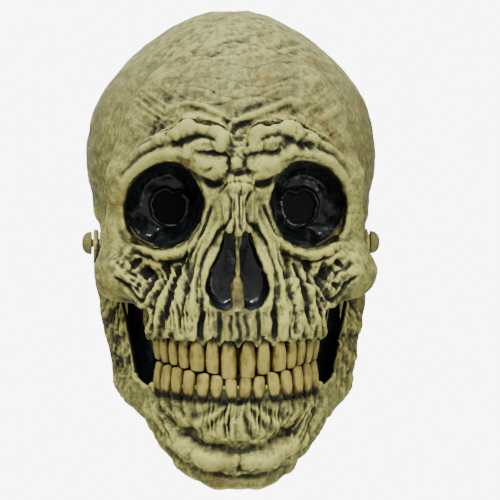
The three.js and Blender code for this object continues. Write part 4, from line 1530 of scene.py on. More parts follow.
@dataclass
class JawCasting:
    """The latex jaw, a band from ear to ear that turns on the two pivots."""

    wall: float = 3.5
    rows: int = 460
    columns: int = 104
    triangles: int = 170000
    plan: tuple[Point2, ...] = (
        (0, -129), (20, -125), (38, -111), (53, -91), (64, -74), (72, -60), (76, -48), (77, -36),
    )
    lower: tuple[float, ...] = (-141, -140.5, -133, -117, -104, -96, -90, -84)
    upper: tuple[float, ...] = (-84, -84, -84, -87, -80, -14, 7, 7)
    tuck: float = 8.0
    side_tuck: float = 4.0
    papillae: tuple[float, ...] = (0, 9.5, 19, 29.5, 40, 51, 62, 74)
    tab_shift: float = 44.0
    centre: float = -74.0

    def curve(self, share: Array, inward: Array | float) -> tuple[Array, Array]:
        """A place on the plan, moved inwards across it."""
        stops = [(-x, y) for x, y in self.plan[:0:-1]] + list(self.plan)
        at = 0.5 + share / 2
        place = spline(stops, at)
        after, before = (spline(stops, np.clip(at + step, 0, 1)) for step in (0.002, -0.002))
        way = unit(after - before)
        return place[:, 0] - way[:, 1] * inward, place[:, 1] + way[:, 0] * inward

    def edges(self, share: Array) -> tuple[Array, Array]:
        """The heights of the lower and the upper edge."""
        stops = np.linspace(0, 1, len(self.lower))
        t = np.abs(share)
        low = spline([(v,) for v in self.lower], t)[:, 0]
        high = np.interp(t, stops, self.upper)
        soft = [np.interp(np.clip(t + d, 0, 1), stops, self.upper) for d in (-0.02, 0, 0.02)]
        high = np.minimum(sum(soft) / 3, high + 1.5)
        return low, high

    def place(self, share: Array, z: Array, inward: Array | float, low: Array) -> Array:
        """Where the band lies.

        Args:
            share: From -1 at the wearer's right rear edge, through 0 at the chin, to 1.
            z: Heights.
            inward: How far inside the outer face.
            low: The lower edge at each place.

        Returns:
            One point per row.
        """
        x, y = self.curve(share, inward)
        t = np.abs(share)
        rear = ease(0.55, 0.9, t)
        shift = self.tab_shift * rear * ease(-50, -4, z)
        room = extent("jaw_skin")[1][0] - self.plan[-1][0]
        spread = room * rear * ease(-88, -4, z) * np.sign(share)
        tuck = 1 - ease(0, 26, z - low)
        pull = (self.tuck + (self.side_tuck - self.tuck) * ease(0.1, 0.45, t)) * tuck**2 * (1 - rear)
        behind = y - self.centre
        away = np.hypot(x, behind) + 1e-6
        return np.stack([x + spread - pull * x / away, y + shift - pull * behind / away, z], axis=1)

    def strokes(self) -> list[Mark]:
        """The relief of the chin and the branches."""
        fan = [
            Stroke(tuple((math.sin(math.radians(a)) * r * 1.15, -84 - math.cos(math.radians(a)) * r * 0.85)
                         for r in (5, 14, 24, 32)), 2.3, lift)
            for a, lift in ((6, 1.8), (14, -1.8), (24, 2.0), (35, -2.0), (46, 1.8), (58, -1.6))
        ]
        roots = [
            Stroke(((x, -85), (x * 1.01, -92), (x * 0.99, -99)), 1.4, -1.3)
            for x in (0.5, 9, 17.5, 26.5, 34.5, 42, 48.5)
        ]
        return [
            *fan,
            *roots,
            Stroke(((-46, -99), (-39, -104), (-29, -110), (-20, -114), (-10, -116.5), (-2, -117), (9, -116),
                    (19, -113), (29, -108.5), (37, -104), (45, -98)), 3.0, -2.8, both_sides=False),
            Stroke(((-40, -111), (-30, -118), (-16, -123), (0, -121), (16, -123), (30, -118), (40, -111)),
                   4.6, 2.6, both_sides=False),
            Stroke(((21, -121), (27, -120)), 4.2, 1.8),
            Stroke(((0, -117), (0, -124), (0, -131)), 1.6, -1.6, both_sides=False),
            Stroke(((-34, -127), (-22, -132), (-9, -133.5), (4, -134), (18, -133), (33, -128)), 1.6, -1.8,
                   both_sides=False),
            Stroke(((29, -106), (30.5, -107.5)), 2.2, -3.2, firm_ends=True),
            Stroke(((20, -97), (23, -103), (22, -109)), 1.2, -1.2),
            Stroke(((50, -96), (46, -106), (38, -116)), 1.5, -1.8),
            Stroke(((57, -90), (54, -99), (46, -110)), 1.5, 1.2),
            Mound((16, -124), (13, 7), 2.6),
            Mound((33, -116), (9, 7), 2.0),
            Fibres((0, -97), (40, 15), 0, 0.0, 2.6, 0.9),
            Fibres((44, -106), (24, 18), 34, 0.002, 2.8, 1.1),
            Fibres((71, -60), (13, 50), 2, 0.0, 2.6, 1.4),
            Stroke(((74, -16), (74.5, -40), (73, -64), (69, -88)), 1.6, -2.2),
            Stroke(((78, -20), (78, -44), (76, -66), (71, -92)), 1.5, -2.0),
            Lumps((14, -120), (44, 22), 8.0, 1.7),
            Lumps((46, -102), (26, 18), 8.0, 1.5),
            Lumps((73, -55), (14, 50), 7.0, 1.8),
        ]

    def surface(self, inward: float) -> Array:
        """A grid of places on one face, from ear to ear and from the lower edge to the upper."""
        share = np.linspace(-1, 1, self.rows)
        low, high = self.edges(share)
        grids = []
        for v in np.linspace(0, 1, self.columns):
            x, y = self.curve(share, inward)
            angle = np.degrees(np.arctan2(np.abs(x), -(y - self.centre)))
            teeth = sum(4.2 * np.exp(-(((angle - b) / 2.6) ** 2)) for b in self.papillae)
            crest = high + (teeth + 1.4) * ease(0.5, 0.42, np.abs(share))
            z = low + (crest - low) * v
            grids.append(self.place(share, z, inward, low))
        grid = np.stack(grids, axis=1)
        face = extent("jaw_skin")[1][0] - self.wall - 0.4
        limit = face + self.wall - inward
        near = np.hypot(grid[..., 1], grid[..., 2]) < 13
        size = np.where(near, np.maximum(np.abs(grid[..., 0]), limit), np.abs(grid[..., 0]))
        grid[..., 0] = np.sign(grid[..., 0]) * size
        return grid

    def build(self, dresser: Dresser) -> Piece:
        """Make the finished casting."""
        outer, inner = self.surface(0.0), self.surface(self.wall)
        relief = Relief(29)
        normals = grid_normals(outer)
        if (normals[..., 1] * outer[..., 1]).sum() < 0:
            normals = -normals
        flat, ways = outer.reshape(-1, 3), normals.reshape(-1, 3)
        from_pivot = ease(11, 17, np.hypot(flat[:, 1], flat[:, 2]))
        facing = ease(0.02, 0.4, -ways[:, 1])
        height = relief.height(flat, self.strokes()) * facing
        grain = Grain(7)
        height += grain.layers(flat, 13.0, 4) * 0.9 + grain.at(flat, (6, 6, 26)) * 0.8
        height = np.clip(height * from_pivot, -3.0, 5)
        outer = outer + normals * height.reshape(outer.shape[:2])[..., None]
        piece = outward(mesh_object("jaw_skin", *shell_grid(outer, inner)))
        thinned(piece, self.triangles)
        self.note_paint(piece, relief)
        return dresser.dress(piece, Finish.BONE, Body.JAW)

    def note_paint(self, piece: Piece, relief: Relief) -> None:
        """Store on the mesh what the paint reads: the relief, the inside, and a darkening that is partly the
        mask's own dark paint and partly painted shade.
        """
        note_recesses(piece)
        points, normals = vertices_of(piece), vertex_normals(piece)
        out = normals[:, 0] * points[:, 0] + normals[:, 1] * (points[:, 1] + 40)
        skin = ease(-8.0, 2.0, out)
        height = relief.height(points, self.strokes()) * ease(0.02, 0.4, -normals[:, 1]) * skin
        x, y, z = np.abs(points[:, 0]), points[:, 1], points[:, 2]
        # Darker along the lower gum line at the front.
        grime = 0.85 * ease(-92, -85, z) * ease(-70, -80, y) * ease(56, 50, x)
        # Painted shade on the underside of the chin.
        grime = np.maximum(grime, 0.3 * ease(-136, -141, z))
        # A little darkening everywhere, and painted shade on the tops of the branches, under the cheekbones.
        grime = np.maximum(grime, 0.22) + 0.2 * ease(-95, -60, z) * ease(60, 70, x)
        # The inside of each branch, where it faces the cleft, is painted black.
        cleft = (1 - skin) * ease(-34, -42, y)
        store(piece, relief=height, grime=grime + 1.6 * cleft, inner=(1 - skin) * (1 - ease(0.1, 0.5, cleft)))


# ---- Teeth ----


@dataclass(frozen=True)
class Tooth:
    """One crown of a row: its edges round the arch in degrees, its length and its set."""

    start: float
    end: float
    tip: float
    lean: float = 0.0
    swell: float = 1.0


@dataclass
class ToothRow:
    """A row of crowns on a dark gum band."""

    name: str
    body: Body
    root: float
    rise: int
    crowns: tuple[Tooth, ...]
    seed: int
    depth: float = 7.0
    around: int = 22
    rings: int = 18
    centre: float = -74.0
    radii: Point2 = (54.0, 56.0)

    def arch(self, degrees: Array, grow: Array | float) -> tuple[Array, Array]:
        """A place on the arch, grown outwards from its line."""
        angle = np.radians(degrees)
        x = (self.radii[0] + grow) * np.sin(angle)
        return x, self.centre - (self.radii[1] + grow) * np.cos(angle)

    def crown(self, tooth: Tooth, side: int, luck: np.random.RandomState) -> tuple[Array, Array, Array]:
        """One crown: vertices, quads and how dark each vertex is painted, with the gum colour at its neck and
        painted shade on its sides.
        """
        s = np.linspace(0, 1, self.rings)
        neck = self.root + self.rise * 3.0
        tip = tooth.tip + luck.uniform(-0.5, 0.5)
        z = neck + (tip - neck) * s
        full = (tooth.end - tooth.start) / 2 * 0.97
        belly = 0.54 + 0.48 * np.sin(np.clip(s * 1.5, 0, 1.0) * math.pi / 2) ** 1.4
        belly *= 1 - 0.13 * ((s - 0.74) / 0.26).clip(0) ** 2
        thick = self.depth / 2 * (1.0 - 0.42 * s**1.6) * tooth.swell
        turn = np.linspace(0, 2 * math.pi, self.around, endpoint=False)
        across, outwards = np.cos(turn), np.sin(turn)
        c = np.sign(across) * np.abs(across) ** 0.74
        d = np.sign(outwards) * np.abs(outwards) ** 0.8
        middle = (tooth.start + tooth.end) / 2 + luck.uniform(-0.3, 0.3)
        lean = luck.uniform(-1.1, 1.1)
        angle = side * middle + full * belly[:, None] * c[None] + lean * (s[:, None] - 0.7)
        out = -self.depth / 2 + 0.6 + tooth.lean * s[:, None] + thick[:, None] * d[None]
        out += 0.9 * np.sin(s * math.pi)[:, None] * np.clip(d, 0, 1)[None]
        x, y = self.arch(angle, out)
        high = z[:, None] + 0.8 * luck.uniform(-1, 1) * c[None] * s[:, None] ** 2
        shape = upright(x, y, high)
        final = shape[-1].mean(axis=0)
        steps = ((0.82, 0.5), (0.45, 0.85), (0.12, 1.0))
        caps = [final + (shape[-1] - final) * k + np.array([0, 0, -self.rise * b]) for k, b in steps]
        first = shape[0].mean(axis=0)
        base = first + (shape[0] - first) * 0.1
        rings = np.stack([base, *shape, *caps])
        rings += 0.22 * luck.uniform(-1, 1, rings.shape) * np.array([0.4, 0.4, 0.2])
        count = len(rings)
        quads = grid_faces(count, self.around, ring=True)
        ends = [np.arange(self.around)[::-1], (count - 1) * self.around + np.arange(self.around)]
        fans = [ring[[0, i, i + 1, i + 2]] for ring in ends for i in range(1, self.around - 2, 2)]
        # Dark at the neck, where the crown meets the gum, and painted shade on the sides that face the next
        # crowns.
        stain = np.concatenate([[1.0], 1 - ease(0.10, 0.42, s), [0.0] * 3])
        sides = np.abs(c) ** 3 * 0.85
        gum_and_side_shade = np.maximum(stain[:, None], sides[None] * np.ones((count, 1)))
        return rings.reshape(-1, 3), np.concatenate([quads, np.array(fans)]), gum_and_side_shade.ravel()

    def band(self) -> tuple[Array, Array, Array]:
        """The gum band behind the crowns."""
        degrees = np.linspace(-86, 86, 90)
        top = self.root + self.rise * 3.0
        low = top - self.rise * 15.5
        heights = np.linspace(top, low, 10)
        grids = []
        for grow in (-4.4, -8.6):
            x, y = self.arch(degrees[:, None], np.full((1, len(heights)), grow))
            grids.append(upright(x, y, heights))
        grain = Grain(self.seed)
        for grid in grids:
            grid[..., 1] += 0.5 * grain.at(grid.reshape(-1, 3), 4.0).reshape(grid.shape[:2])
        points, quads = shell_grid(*grids, 2)
        return points, quads, np.ones(len(points))

    def build(self, dresser: Dresser) -> Piece:
        """Make the row."""
        luck = np.random.RandomState(self.seed)
        parts = [self.band()]
        for tooth in self.crowns:
            parts += [self.crown(tooth, side, luck) for side in (1, -1)]
        piece = outward(mesh_object(self.name, *joined([(p, q) for p, q, _ in parts])))
        store(piece, stain=np.concatenate([stain for *_, stain in parts]))
        recalculated(piece)
        return dresser.dress(piece, Finish.TOOTH, self.body)


def tooth_rows() -> list[ToothRow]:
    """The upper and the lower row."""
    upper = (
        Tooth(0.3, 11.8, -71.6, 0.3), Tooth(12.2, 22.4, -69.0, -0.3), Tooth(22.8, 34.0, -68.2, 0.9, 1.15),
        Tooth(34.4, 43.4, -66.8, 0.1), Tooth(43.8, 52.8, -65.8, 0.0), Tooth(53.2, 62.8, -65.2, 0.2),
        Tooth(63.2, 75.0, -64.6, 0.2),
    )
    lower = (
        Tooth(0.3, 9.3, -72.5, -0.4), Tooth(9.6, 18.8, -71.8, -0.4), Tooth(19.2, 29.2, -70.4, 0.2, 1.1),
        Tooth(29.6, 39.6, -69.2), Tooth(40.0, 50.6, -68.2), Tooth(51.0, 61.6, -67.5),
        Tooth(62.0, 73.6, -67.0),
    )
    return [
        ToothRow("upper_teeth", Body.HEAD, -49.0, 1, upper, 3),
        ToothRow("lower_teeth", Body.JAW, -84.0, -1, lower, 4),
    ]


# ---- Black linings ----


@dataclass
class SocketLining:
    """A black cup in an eye socket, with a lipped hole to see through and gauze behind it."""

    side: Side
    head: HeadCasting
    wall: float = 1.6
    floor: float = -64.0
    middle: Point2 = (44.0, 32.0)
    taper: float = 0.62
    hole: Point2 = (40.0, 28.5)
    hole_radii: Point2 = (12.0, 10.4)
    around: int = 132

    def hole_ring(self, grow: float) -> Array:
        """The heart-shaped hole's outline, seen from the front."""
        turn = np.linspace(0, 2 * math.pi, self.around, endpoint=False)
        size = 1 - 0.42 * np.exp(-((np.degrees(turn) - 98) / 20) ** 2)
        size = size + 0.16 * np.exp(-((np.degrees(turn) - 262) / 24) ** 2) - 0.08 * np.cos(2 * turn)
        size = size + 0.03 * np.sin(5 * turn) + 0.03 * np.sin(9 * turn + 1)
        rx, rz = (r + grow for r in self.hole_radii)
        around = np.stack([rx * size * np.cos(turn), rz * size * np.sin(turn)], axis=1)
        return np.array(self.hole) + around

    def rings(self) -> Array:
        """The cup's front, from its rim in to the hole's lip."""
        outline = rounded(self.head.socket, self.around)
        outline = even_round(outline, self.middle, self.around)
        hole = np.roll(self.hole_ring(0), self.around // 2, axis=0)
        starts = upright(outline[:, 0], -30.0, outline[:, 1])
        skin = self.head.reach(starts, (0, -1, 0), 2.2)[:, 1]
        for _ in range(6):
            skin = (np.roll(skin, 1) + np.roll(skin, -1) + skin) / 3
        middle = np.array(self.middle)
        rows = []
        for s in np.linspace(0, 1, 26):
            size = 1.012 - (1 - self.taper) * s**2.6
            place = middle + (outline - middle) * size
            y = skin + (self.floor + 0.8 - skin) * (s**0.92)
            rows.append(upright(place[:, 0], y, place[:, 1]))
        wall_end = rows[-1][:, [0, 2]]
        for s in np.linspace(0.12, 1, 12):
            place = wall_end + (hole - wall_end) * s
            lift = -3.0 * math.exp(-(((s - 0.86) / 0.12) ** 2)) - 0.4 * s
            rows.append(upright(place[:, 0], self.floor + 0.8 + lift, place[:, 1]))
        grid = np.stack(rows)
        grain = Grain(41 + self.side.value)
        share = np.sin(np.linspace(0, math.pi, len(rows))) ** 0.7
        normals = grid_normals(grid, ring=True)
        folds = grain.layers(grid.reshape(-1, 3), 15.0, 4).reshape(grid.shape[:2])
        ripple = grain.at(grid.reshape(-1, 3) + 55, (9, 30, 9)).reshape(grid.shape[:2])
        return grid + normals * ((folds * 1.9 + ripple * 1.3) * share[:, None])[..., None]

    def cup(self, dresser: Dresser) -> Piece:
        """Make the cup."""
        front = self.rings()
        normals = grid_normals(front, ring=True)
        if (normals[:20, :, 1]).sum() < 0:
            normals = -normals
        middle = np.array([self.middle[0], self.floor, self.middle[1]])
        away = front - middle
        flip = np.sign((normals * away).sum(axis=-1).mean())
        back = front + normals * (flip * self.wall)
        points, quads = ring_shell(front, back)
        points[:, 0] *= self.side.value
        piece = skinned(f"{self.side.word}_socket_cup", (points, quads))
        return dresser.dress(piece, Finish.BLACK, Body.HEAD)

    def gauze(self, dresser: Dresser) -> Piece:
        """Make the disc of gauze behind the hole."""
        low, high = extent(f"{self.side.word}_eye_mesh")
        middle, thick = (low + high) / 2, high[1] - low[1]
        turn = np.linspace(0, 2 * math.pi, 64, endpoint=False)
        radii = (0.2, 4, 8, 12, 12.9)
        faces = []
        for y in (-thick / 2 * 0.7, thick / 2 * 0.7):
            bulges = [middle[1] + y - 0.2 * math.cos(r / 8.2) for r in radii]
            rings = [
                upright(middle[0] + r * np.cos(turn), bulge, middle[2] + r * np.sin(turn))
                for r, bulge in zip(radii, bulges)
            ]
            faces.append(np.stack(rings))
        piece = skinned(f"{self.side.word}_eye_mesh", ring_shell(*faces))
        return dresser.dress(piece, Finish.NET, Body.HEAD)


@dataclass
class NoseLining:
    """The black box behind the nose opening."""

    head: HeadCasting
    wall: float = 1.6
    back: float = -104.0
    around: int = 120

    def build(self, dresser: Dresser) -> Piece:
        """Make the box."""
        half = rounded(self.head.nostril, 199)
        half = half[half[:, 0] > 0.3]
        half = half[np.argsort(np.arctan2(half[:, 1] + 6, half[:, 0]))]
        outline = np.concatenate([half, (half * (-1, 1))[::-1]])
        middle = np.array([0.0, -6.0])
        outline = even_round(outline, middle, self.around)
        skin = self.head.reach(upright(outline[:, 0], -60.0, outline[:, 1]), (0, -1, 0), 2.6)[:, 1]
        rows = []
        for s in np.linspace(0, 1, 14):
            place = middle + (outline - middle) * (1.04 - 0.1 * s**3)
            rows.append(upright(place[:, 0], skin + (self.back - skin) * s, place[:, 1]))
        for k in (0.86, 0.7, 0.5, 0.3, 0.12, 0.02):
            place = middle + (outline - middle) * 0.94 * k
            rows.append(upright(place[:, 0], self.back + self.wall * (1 - k), place[:, 1]))
        front = np.stack(rows)
        grain = Grain(51)
        wave = grain.layers(front.reshape(-1, 3), 9.0, 3).reshape(front.shape[:2])
        share = np.sin(np.linspace(0, math.pi, len(rows)))[:, None]
        front[..., 1] += 0.8 * wave * share
        normals = grid_normals(front, ring=True)
        flip = np.sign((normals[:10] * (front[:10] - np.array([0, -110, -6]))).sum(axis=-1).mean())
        piece = skinned("nose_cup", ring_shell(front, front + normals * (flip * self.wall)))
        return dresser.dress(piece, Finish.BLACK, Body.HEAD)


@dataclass
class MouthLiner:
    """The black sheet behind the teeth, out to the jaw's branches on each side."""

    thickness: float = 1.2
    inset: float = 12.65
    low: float = -88.5
    middle_top: float = -53.0
    wing_top: float = -33.5
    rows: int = 220
    columns: int = 44

    def plan(self) -> list[Point2]:
        """The sheet's plan on the wearer's left."""
        reach = [math.radians(84 * share) for share in (0, 0.25, 0.5, 0.75, 1)]
        wide, deep = 54 - self.inset, 56 - self.inset
        arc = [(wide * math.sin(a), -74 - deep * math.cos(a)) for a in reach]
        return [*arc, (arc[-1][0] + 4, arc[-1][1] + 10), (68, -52)]

    def build(self, dresser: Dresser) -> Piece:
        """Make the sheet."""
        half = self.plan()
        stops = [(-x, y) for x, y in half[:0:-1]] + half
        share = np.linspace(0, 1, self.rows)
        line = spline(stops, share)
        top = self.middle_top + (self.wing_top - self.middle_top) * ease(56.5, 61.5, np.abs(line[:, 0]))
        v = np.linspace(0, 1, self.columns)
        z = self.low + (top[:, None] - self.low) * v
        front = upright(line[:, :1], line[:, 1:2], z)
        normals = grid_normals(front)
        if (normals[..., 1] * front[..., 1]).sum() < 0:
            normals = -normals
        grain = Grain(61)
        flat = front.reshape(-1, 3)
        crumple = grain.layers(flat, 12.0, 3) + grain.at(flat, (30, 30, 5)) * 0.8
        edge = np.sin(v * math.pi) ** 0.5
        lift = np.clip(crumple, -1.2, 1.6).reshape(z.shape) * edge[None] * 0.8
        front = front + normals * lift[..., None]
        piece = skinned("mouth_liner", shell_grid(front, front - normals * self.thickness))
        dresser.dress(piece, Finish.BLACK, None)
        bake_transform(piece)
        return piece


# ---- Pivots and the jaw's springs ----


def turned(name: str, profile: Sequence[Point2], side: Side, around: int = 64) -> Piece:
    """A body turned about the pivot's axis.

    Args:
        name: The object's name.
        profile: Distances from the mask's middle, outwards, with the radius at each. It closes on itself.
        side: The side of the head.
        around: Facets round the axis.

    Returns:
        The object.
    """
    turn = np.linspace(0, 2 * math.pi, around, endpoint=False)[:, None]
    along, radius = np.array(profile).T
    loops = upright(side.value * along, radius * np.cos(turn), radius * np.sin(turn))
    return skinned(name, torus(loops))


@dataclass
class Pivot:
    """A post with its cap outside the jaw, a washer in the joint and a nut inside the head."""

    side: Side
    post: float = 2.6
    cap: float = 7.5

    def build(self, dresser: Dresser) -> None:
        """Make the three pieces."""
        cap, washer, nut = (f"{self.side.word}_pivot_{part}" for part in ("cap", "washer", "nut"))
        low, high = self.span(cap)
        seat, dome, rim = high - 6.5, 5.7, self.cap
        turns = np.linspace(0, math.pi / 2, 12)
        arc = [(seat + 0.8 + dome * math.sin(a), rim * math.cos(a) ** 0.8 + 0.02) for a in turns]
        stem = [(low, 0.02), (low, self.post - 0.5), (low + 0.5, self.post), (seat, self.post)]
        profile = [*stem, (seat, rim - 0.3), (seat + 0.3, rim), *arc]
        dresser.dress(turned(cap, profile, self.side), Finish.CAP, Body.HEAD)
        low, high = self.span(washer)
        ring = [(low, 3.0), (low, 7.3), (low + 0.2, 7.5), (high - 0.2, 7.5), (high, 7.3), (high, 3.0)]
        dresser.dress(turned(washer, ring, self.side), Finish.NYLON, Body.HEAD)
        low, high = self.span(nut)
        flange = [(low, 2.65), (low, 4.4), (low + 1.2, 5.1), (low + 1.7, 6.3), (low + 2.0, 6.5)]
        ring = [*flange, (high - 0.3, 6.5), (high, 6.2), (high, 2.65)]
        dresser.dress(turned(nut, ring, self.side), Finish.NICKEL, Body.HEAD)

    @staticmethod
    def span(node: str) -> list[float]:
        """How far from the mask's middle a node starts and ends."""
        return sorted(abs(corner[0]) for corner in extent(node))


@dataclass
class JawElastic:
    """A ribbed elastic that pulls the jaw shut."""

    side: Side

    def build(self, dresser: Dresser) -> Piece:
        """Make the elastic."""
        name = f"{self.side.word}_jaw_elastic"
        low, high = extent(name)
        z = np.linspace(low[2], high[2], 120)
        y = np.linspace(low[1], high[1], 22)
        ribs = 0.22 * np.abs(np.sin((y - low[1]) / (high[1] - low[1]) * math.pi * 5))
        wave = 0.12 * np.sin(z * 2.2)
        faces = []
        for x, way in ((low[0] + 0.2, -1), (high[0] - 0.2, 1)):
            faces.append(upright(x + way * (ribs[:, None] - 0.1 + wave[None] * 0.5), y[:, None], z))
        piece = skinned(name, shell_grid(*faces))
        dresser.dress(piece, Finish.ELASTIC, None)
        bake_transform(piece)
        return piece


# ---- Stitching ----


class Stitcher:
    """Lays stitches along a path with a node tree."""

    def __init__(self, dresser: Dresser) -> None:
        """Build the tree."""
        self.dresser = dresser
        tree = bpy.data.node_groups.new("stitches", "GeometryNodeTree")
        face = tree.interface
        face.new_socket("Path", in_out="INPUT", socket_type="NodeSocketGeometry")
        sizes = (("Stitches", "Int"), ("Length", "Float"), ("Thread radius", "Float"))
        self.count, self.long, self.thick = (
            face.new_socket(label, in_out="INPUT", socket_type=f"NodeSocket{kind}").identifier
            for label, kind in sizes
        )
        face.new_socket("Stitching", in_out="OUTPUT", socket_type="NodeSocketGeometry")
        nodes = tree.nodes
        start, end = nodes.new("NodeGroupInput"), nodes.new("NodeGroupOutput")
        curve, even = nodes.new("GeometryNodeMeshToCurve"), nodes.new("GeometryNodeResampleCurve")
        tangent, turn = nodes.new("GeometryNodeInputTangent"), nodes.new("FunctionNodeAlignEulerToVector")
        bead, place = nodes.new("GeometryNodeMeshIcoSphere"), nodes.new("GeometryNodeInstanceOnPoints")
        size, real = nodes.new("ShaderNodeCombineXYZ"), nodes.new("GeometryNodeRealizeInstances")
        coat = nodes.new("GeometryNodeSetMaterial")
        turn.axis = "Z"
        bead.inputs["Subdivisions"].default_value = 2
        bead.inputs["Radius"].default_value = 1.0
        coat.inputs["Material"].default_value = dresser.material(Finish.NYLON)
        wires = [
            (start, "Path", curve, "Mesh"), (curve, "Curve", even, "Curve"),
            (start, "Stitches", even, "Count"), (even, "Curve", place, "Points"),
            (tangent, "Tangent", turn, "Vector"),
            (turn, "Rotation", place, "Rotation"), (bead, "Mesh", place, "Instance"),
            (start, "Thread radius", size, "X"), (start, "Thread radius", size, "Y"),
            (start, "Length", size, "Z"),
            (size, "Vector", place, "Scale"), (place, "Instances", real, "Geometry"),
            (real, "Geometry", coat, "Geometry"), (coat, "Geometry", end, "Stitching"),
        ]
        for source, output, target, socket in wires:
            tree.links.new(source.outputs[output], target.inputs[socket])
        self.tree = tree

    def sew(self, piece: Piece, path: Array, pitch: float = 3.0) -> None:
        """Sew a row of stitches onto a piece.

        Args:
            piece: The object that gains them.
            path: Points of the row, in millimetres.
            pitch: From one stitch to the next.
        """
        span = float(np.linalg.norm(np.diff(path, axis=0), axis=1).sum())
        mesh = bpy.data.meshes.new("row")
        edges = [(i, i + 1) for i in range(len(path) - 1)]
        mesh.from_pydata([tuple(p * MM) for p in path], edges, [])
        row = bpy.data.objects.new("row", mesh)
        bpy.context.scene.collection.objects.link(row)
        modifier = row.modifiers.new("stitches", "NODES")
        modifier.node_group = self.tree
        modifier[self.count] = max(2, round(span / pitch))
        modifier[self.long] = pitch * 0.42 * MM
        modifier[self.thick] = 0.28 * MM
        with_modifiers(row)
        bpy.ops.object.select_all(action="DESELECT")
        row.select_set(True)
        piece.select_set(True)
        bpy.context.view_layer.objects.active = piece
        bpy.ops.object.join()


# ---- Pads and straps ----


def settled(grid: Array, rounds: int) -> Array:
    """Even out a grid inside its edges, in place, some rounds over."""
    for _ in range(rounds):
        grid[1:-1, 1:-1] = (grid[:-2, 1:-1] + grid[2:, 1:-1] + grid[1:-1, :-2] + grid[1:-1, 2:]) / 4
    return grid


def crowned(outer: Array, inner: Array, seed: int) -> tuple[Array, Array]:
    """A soft pad between two grids: thinner at its edges, with a lumpy face.

    Args:
        outer: The grid that lies against the casting.
        inner: The grid that faces the wearer.
        seed: For the lumps.

    Returns:
        The vertices and the quads.
    """
    edges, middle = 0.45, 0.96
    u, v = (np.sqrt(np.clip(1 - np.abs(np.linspace(-1, 1, n)) ** 5, 0, 1)) for n in outer.shape[:2])
    dome = u[:, None] * v[None]
    grain = Grain(seed).layers(inner.reshape(-1, 3), 9.0, 4).reshape(outer.shape[:2])
    share = np.clip(edges + (middle - edges) * dome + 0.05 * grain * dome, 0, 1)
    soft = outer + (inner - outer) * share[..., None]
    return shell_grid(outer, soft, 5)


@dataclass
class FoamPads:
    """Foam that seats the mask on the head and the chin."""

    head: HeadCasting
    jaw: JawCasting
    thickness: float = 10.0
    clear: float = 2.0
    crown_radius: float = 42.0
    centre: Point3 = (0.0, -5.0, 30.0)

    def patch(self, name: str, azimuth: Point2, elevation: Point2, seed: int) -> Piece:
        """A pad under a patch of the skin, given in degrees."""
        turns, rises = np.radians(np.linspace(*azimuth, 64)), np.radians(np.linspace(*elevation, 44))
        a, e = np.meshgrid(turns, rises, indexing="ij")
        ways = np.stack([np.sin(a) * np.cos(e), -np.cos(a) * np.cos(e), np.sin(e)], axis=-1).reshape(-1, 3)
        starts = np.tile(self.centre, (len(ways), 1))
        outer = self.head.reach(starts, ways, self.head.wall + self.clear + 0.8)
        grid = settled(outer.reshape(*a.shape, 3), 12)
        inner = grid - ways.reshape(grid.shape) * (self.thickness - 0.8)
        return skinned(name, crowned(grid, inner, seed))

    def crown(self) -> Piece:
        """The round pad under the crown."""
        a, b = np.meshgrid(np.linspace(-1, 1, 60), np.linspace(-1, 1, 60), indexing="ij")
        x = self.crown_radius * a * np.sqrt(1 - b * b / 2)
        y = self.crown_radius * b * np.sqrt(1 - a * a / 2)
        starts = upright(x, y, 30.0).reshape(-1, 3)
        outer = self.head.reach(starts, (0, 0, 1), self.head.wall + self.clear + 0.8).reshape(*a.shape, 3)
        return skinned("crown_pad", crowned(outer, outer - (0, 0, self.thickness - 0.8), 75))

    def chin(self) -> Piece:
        """The pad under the wearer's chin."""
        share = np.linspace(-0.3, 0.3, 90)
        low, _ = self.jaw.edges(share)
        grids = []
        rises = np.linspace(12.3, 29.5, 30)
        for inward in (5.9, 14.3):
            columns = [self.jaw.place(share, low + rise, inward, low) for rise in rises]
            grids.append(np.stack(columns, axis=1))
        return skinned("chin_pad", crowned(*grids, 76))

    def build(self, dresser: Dresser) -> None:
        """Make the pads."""
        pads = [
            self.patch("forehead_pad", (-34, 34), (22, 46), 71),
            self.patch("left_temple_pad", (72, 112), (2, 34), 72),
            self.patch("right_temple_pad", (248, 288), (2, 34), 73),
            self.patch("nape_pad", (150, 210), (-16, 14), 74),
            self.crown(),
            self.chin(),
        ]
        for pad in pads:
            dresser.dress(pad, Finish.FOAM, Body.JAW if pad is pads[-1] else Body.HEAD)


@dataclass
class ChinStrap:
    """Webbing across the inside of the jaw, which the wearer's chin bears on."""

    jaw: JawCasting
    width: float = 12.0
    low: float = -101.0
    thickness: float = 1.5

    def build(self, dresser: Dresser, stitcher: Stitcher) -> Piece:
        """Make the strap."""
        share = np.linspace(-0.8, 0.8, 240)
        heights = np.linspace(self.low, self.low + self.width, 16)
        grids = []
        for inward in (15.7, 15.3 + self.thickness):
            x, y = self.jaw.curve(share, inward)
            weave = 0.12 * np.sin(share * 480)[:, None] * np.cos(np.arange(16) * math.pi)[None]
            grid = upright(x[:, None], y[:, None], heights)
            grids.append(grid + weave[..., None] * grid_normals(grid))
        piece = skinned("chin_strap", shell_grid(*grids))
        piece.data.materials.append(dresser.material(Finish.WEBBING))
        inside = grids[1] + 0.05 * (grids[1] - grids[0])
        for column in (2, 13):
            stitcher.sew(piece, inside[6:-6, column])
        return dresser.dress(piece, Finish.WEBBING, Body.JAW)


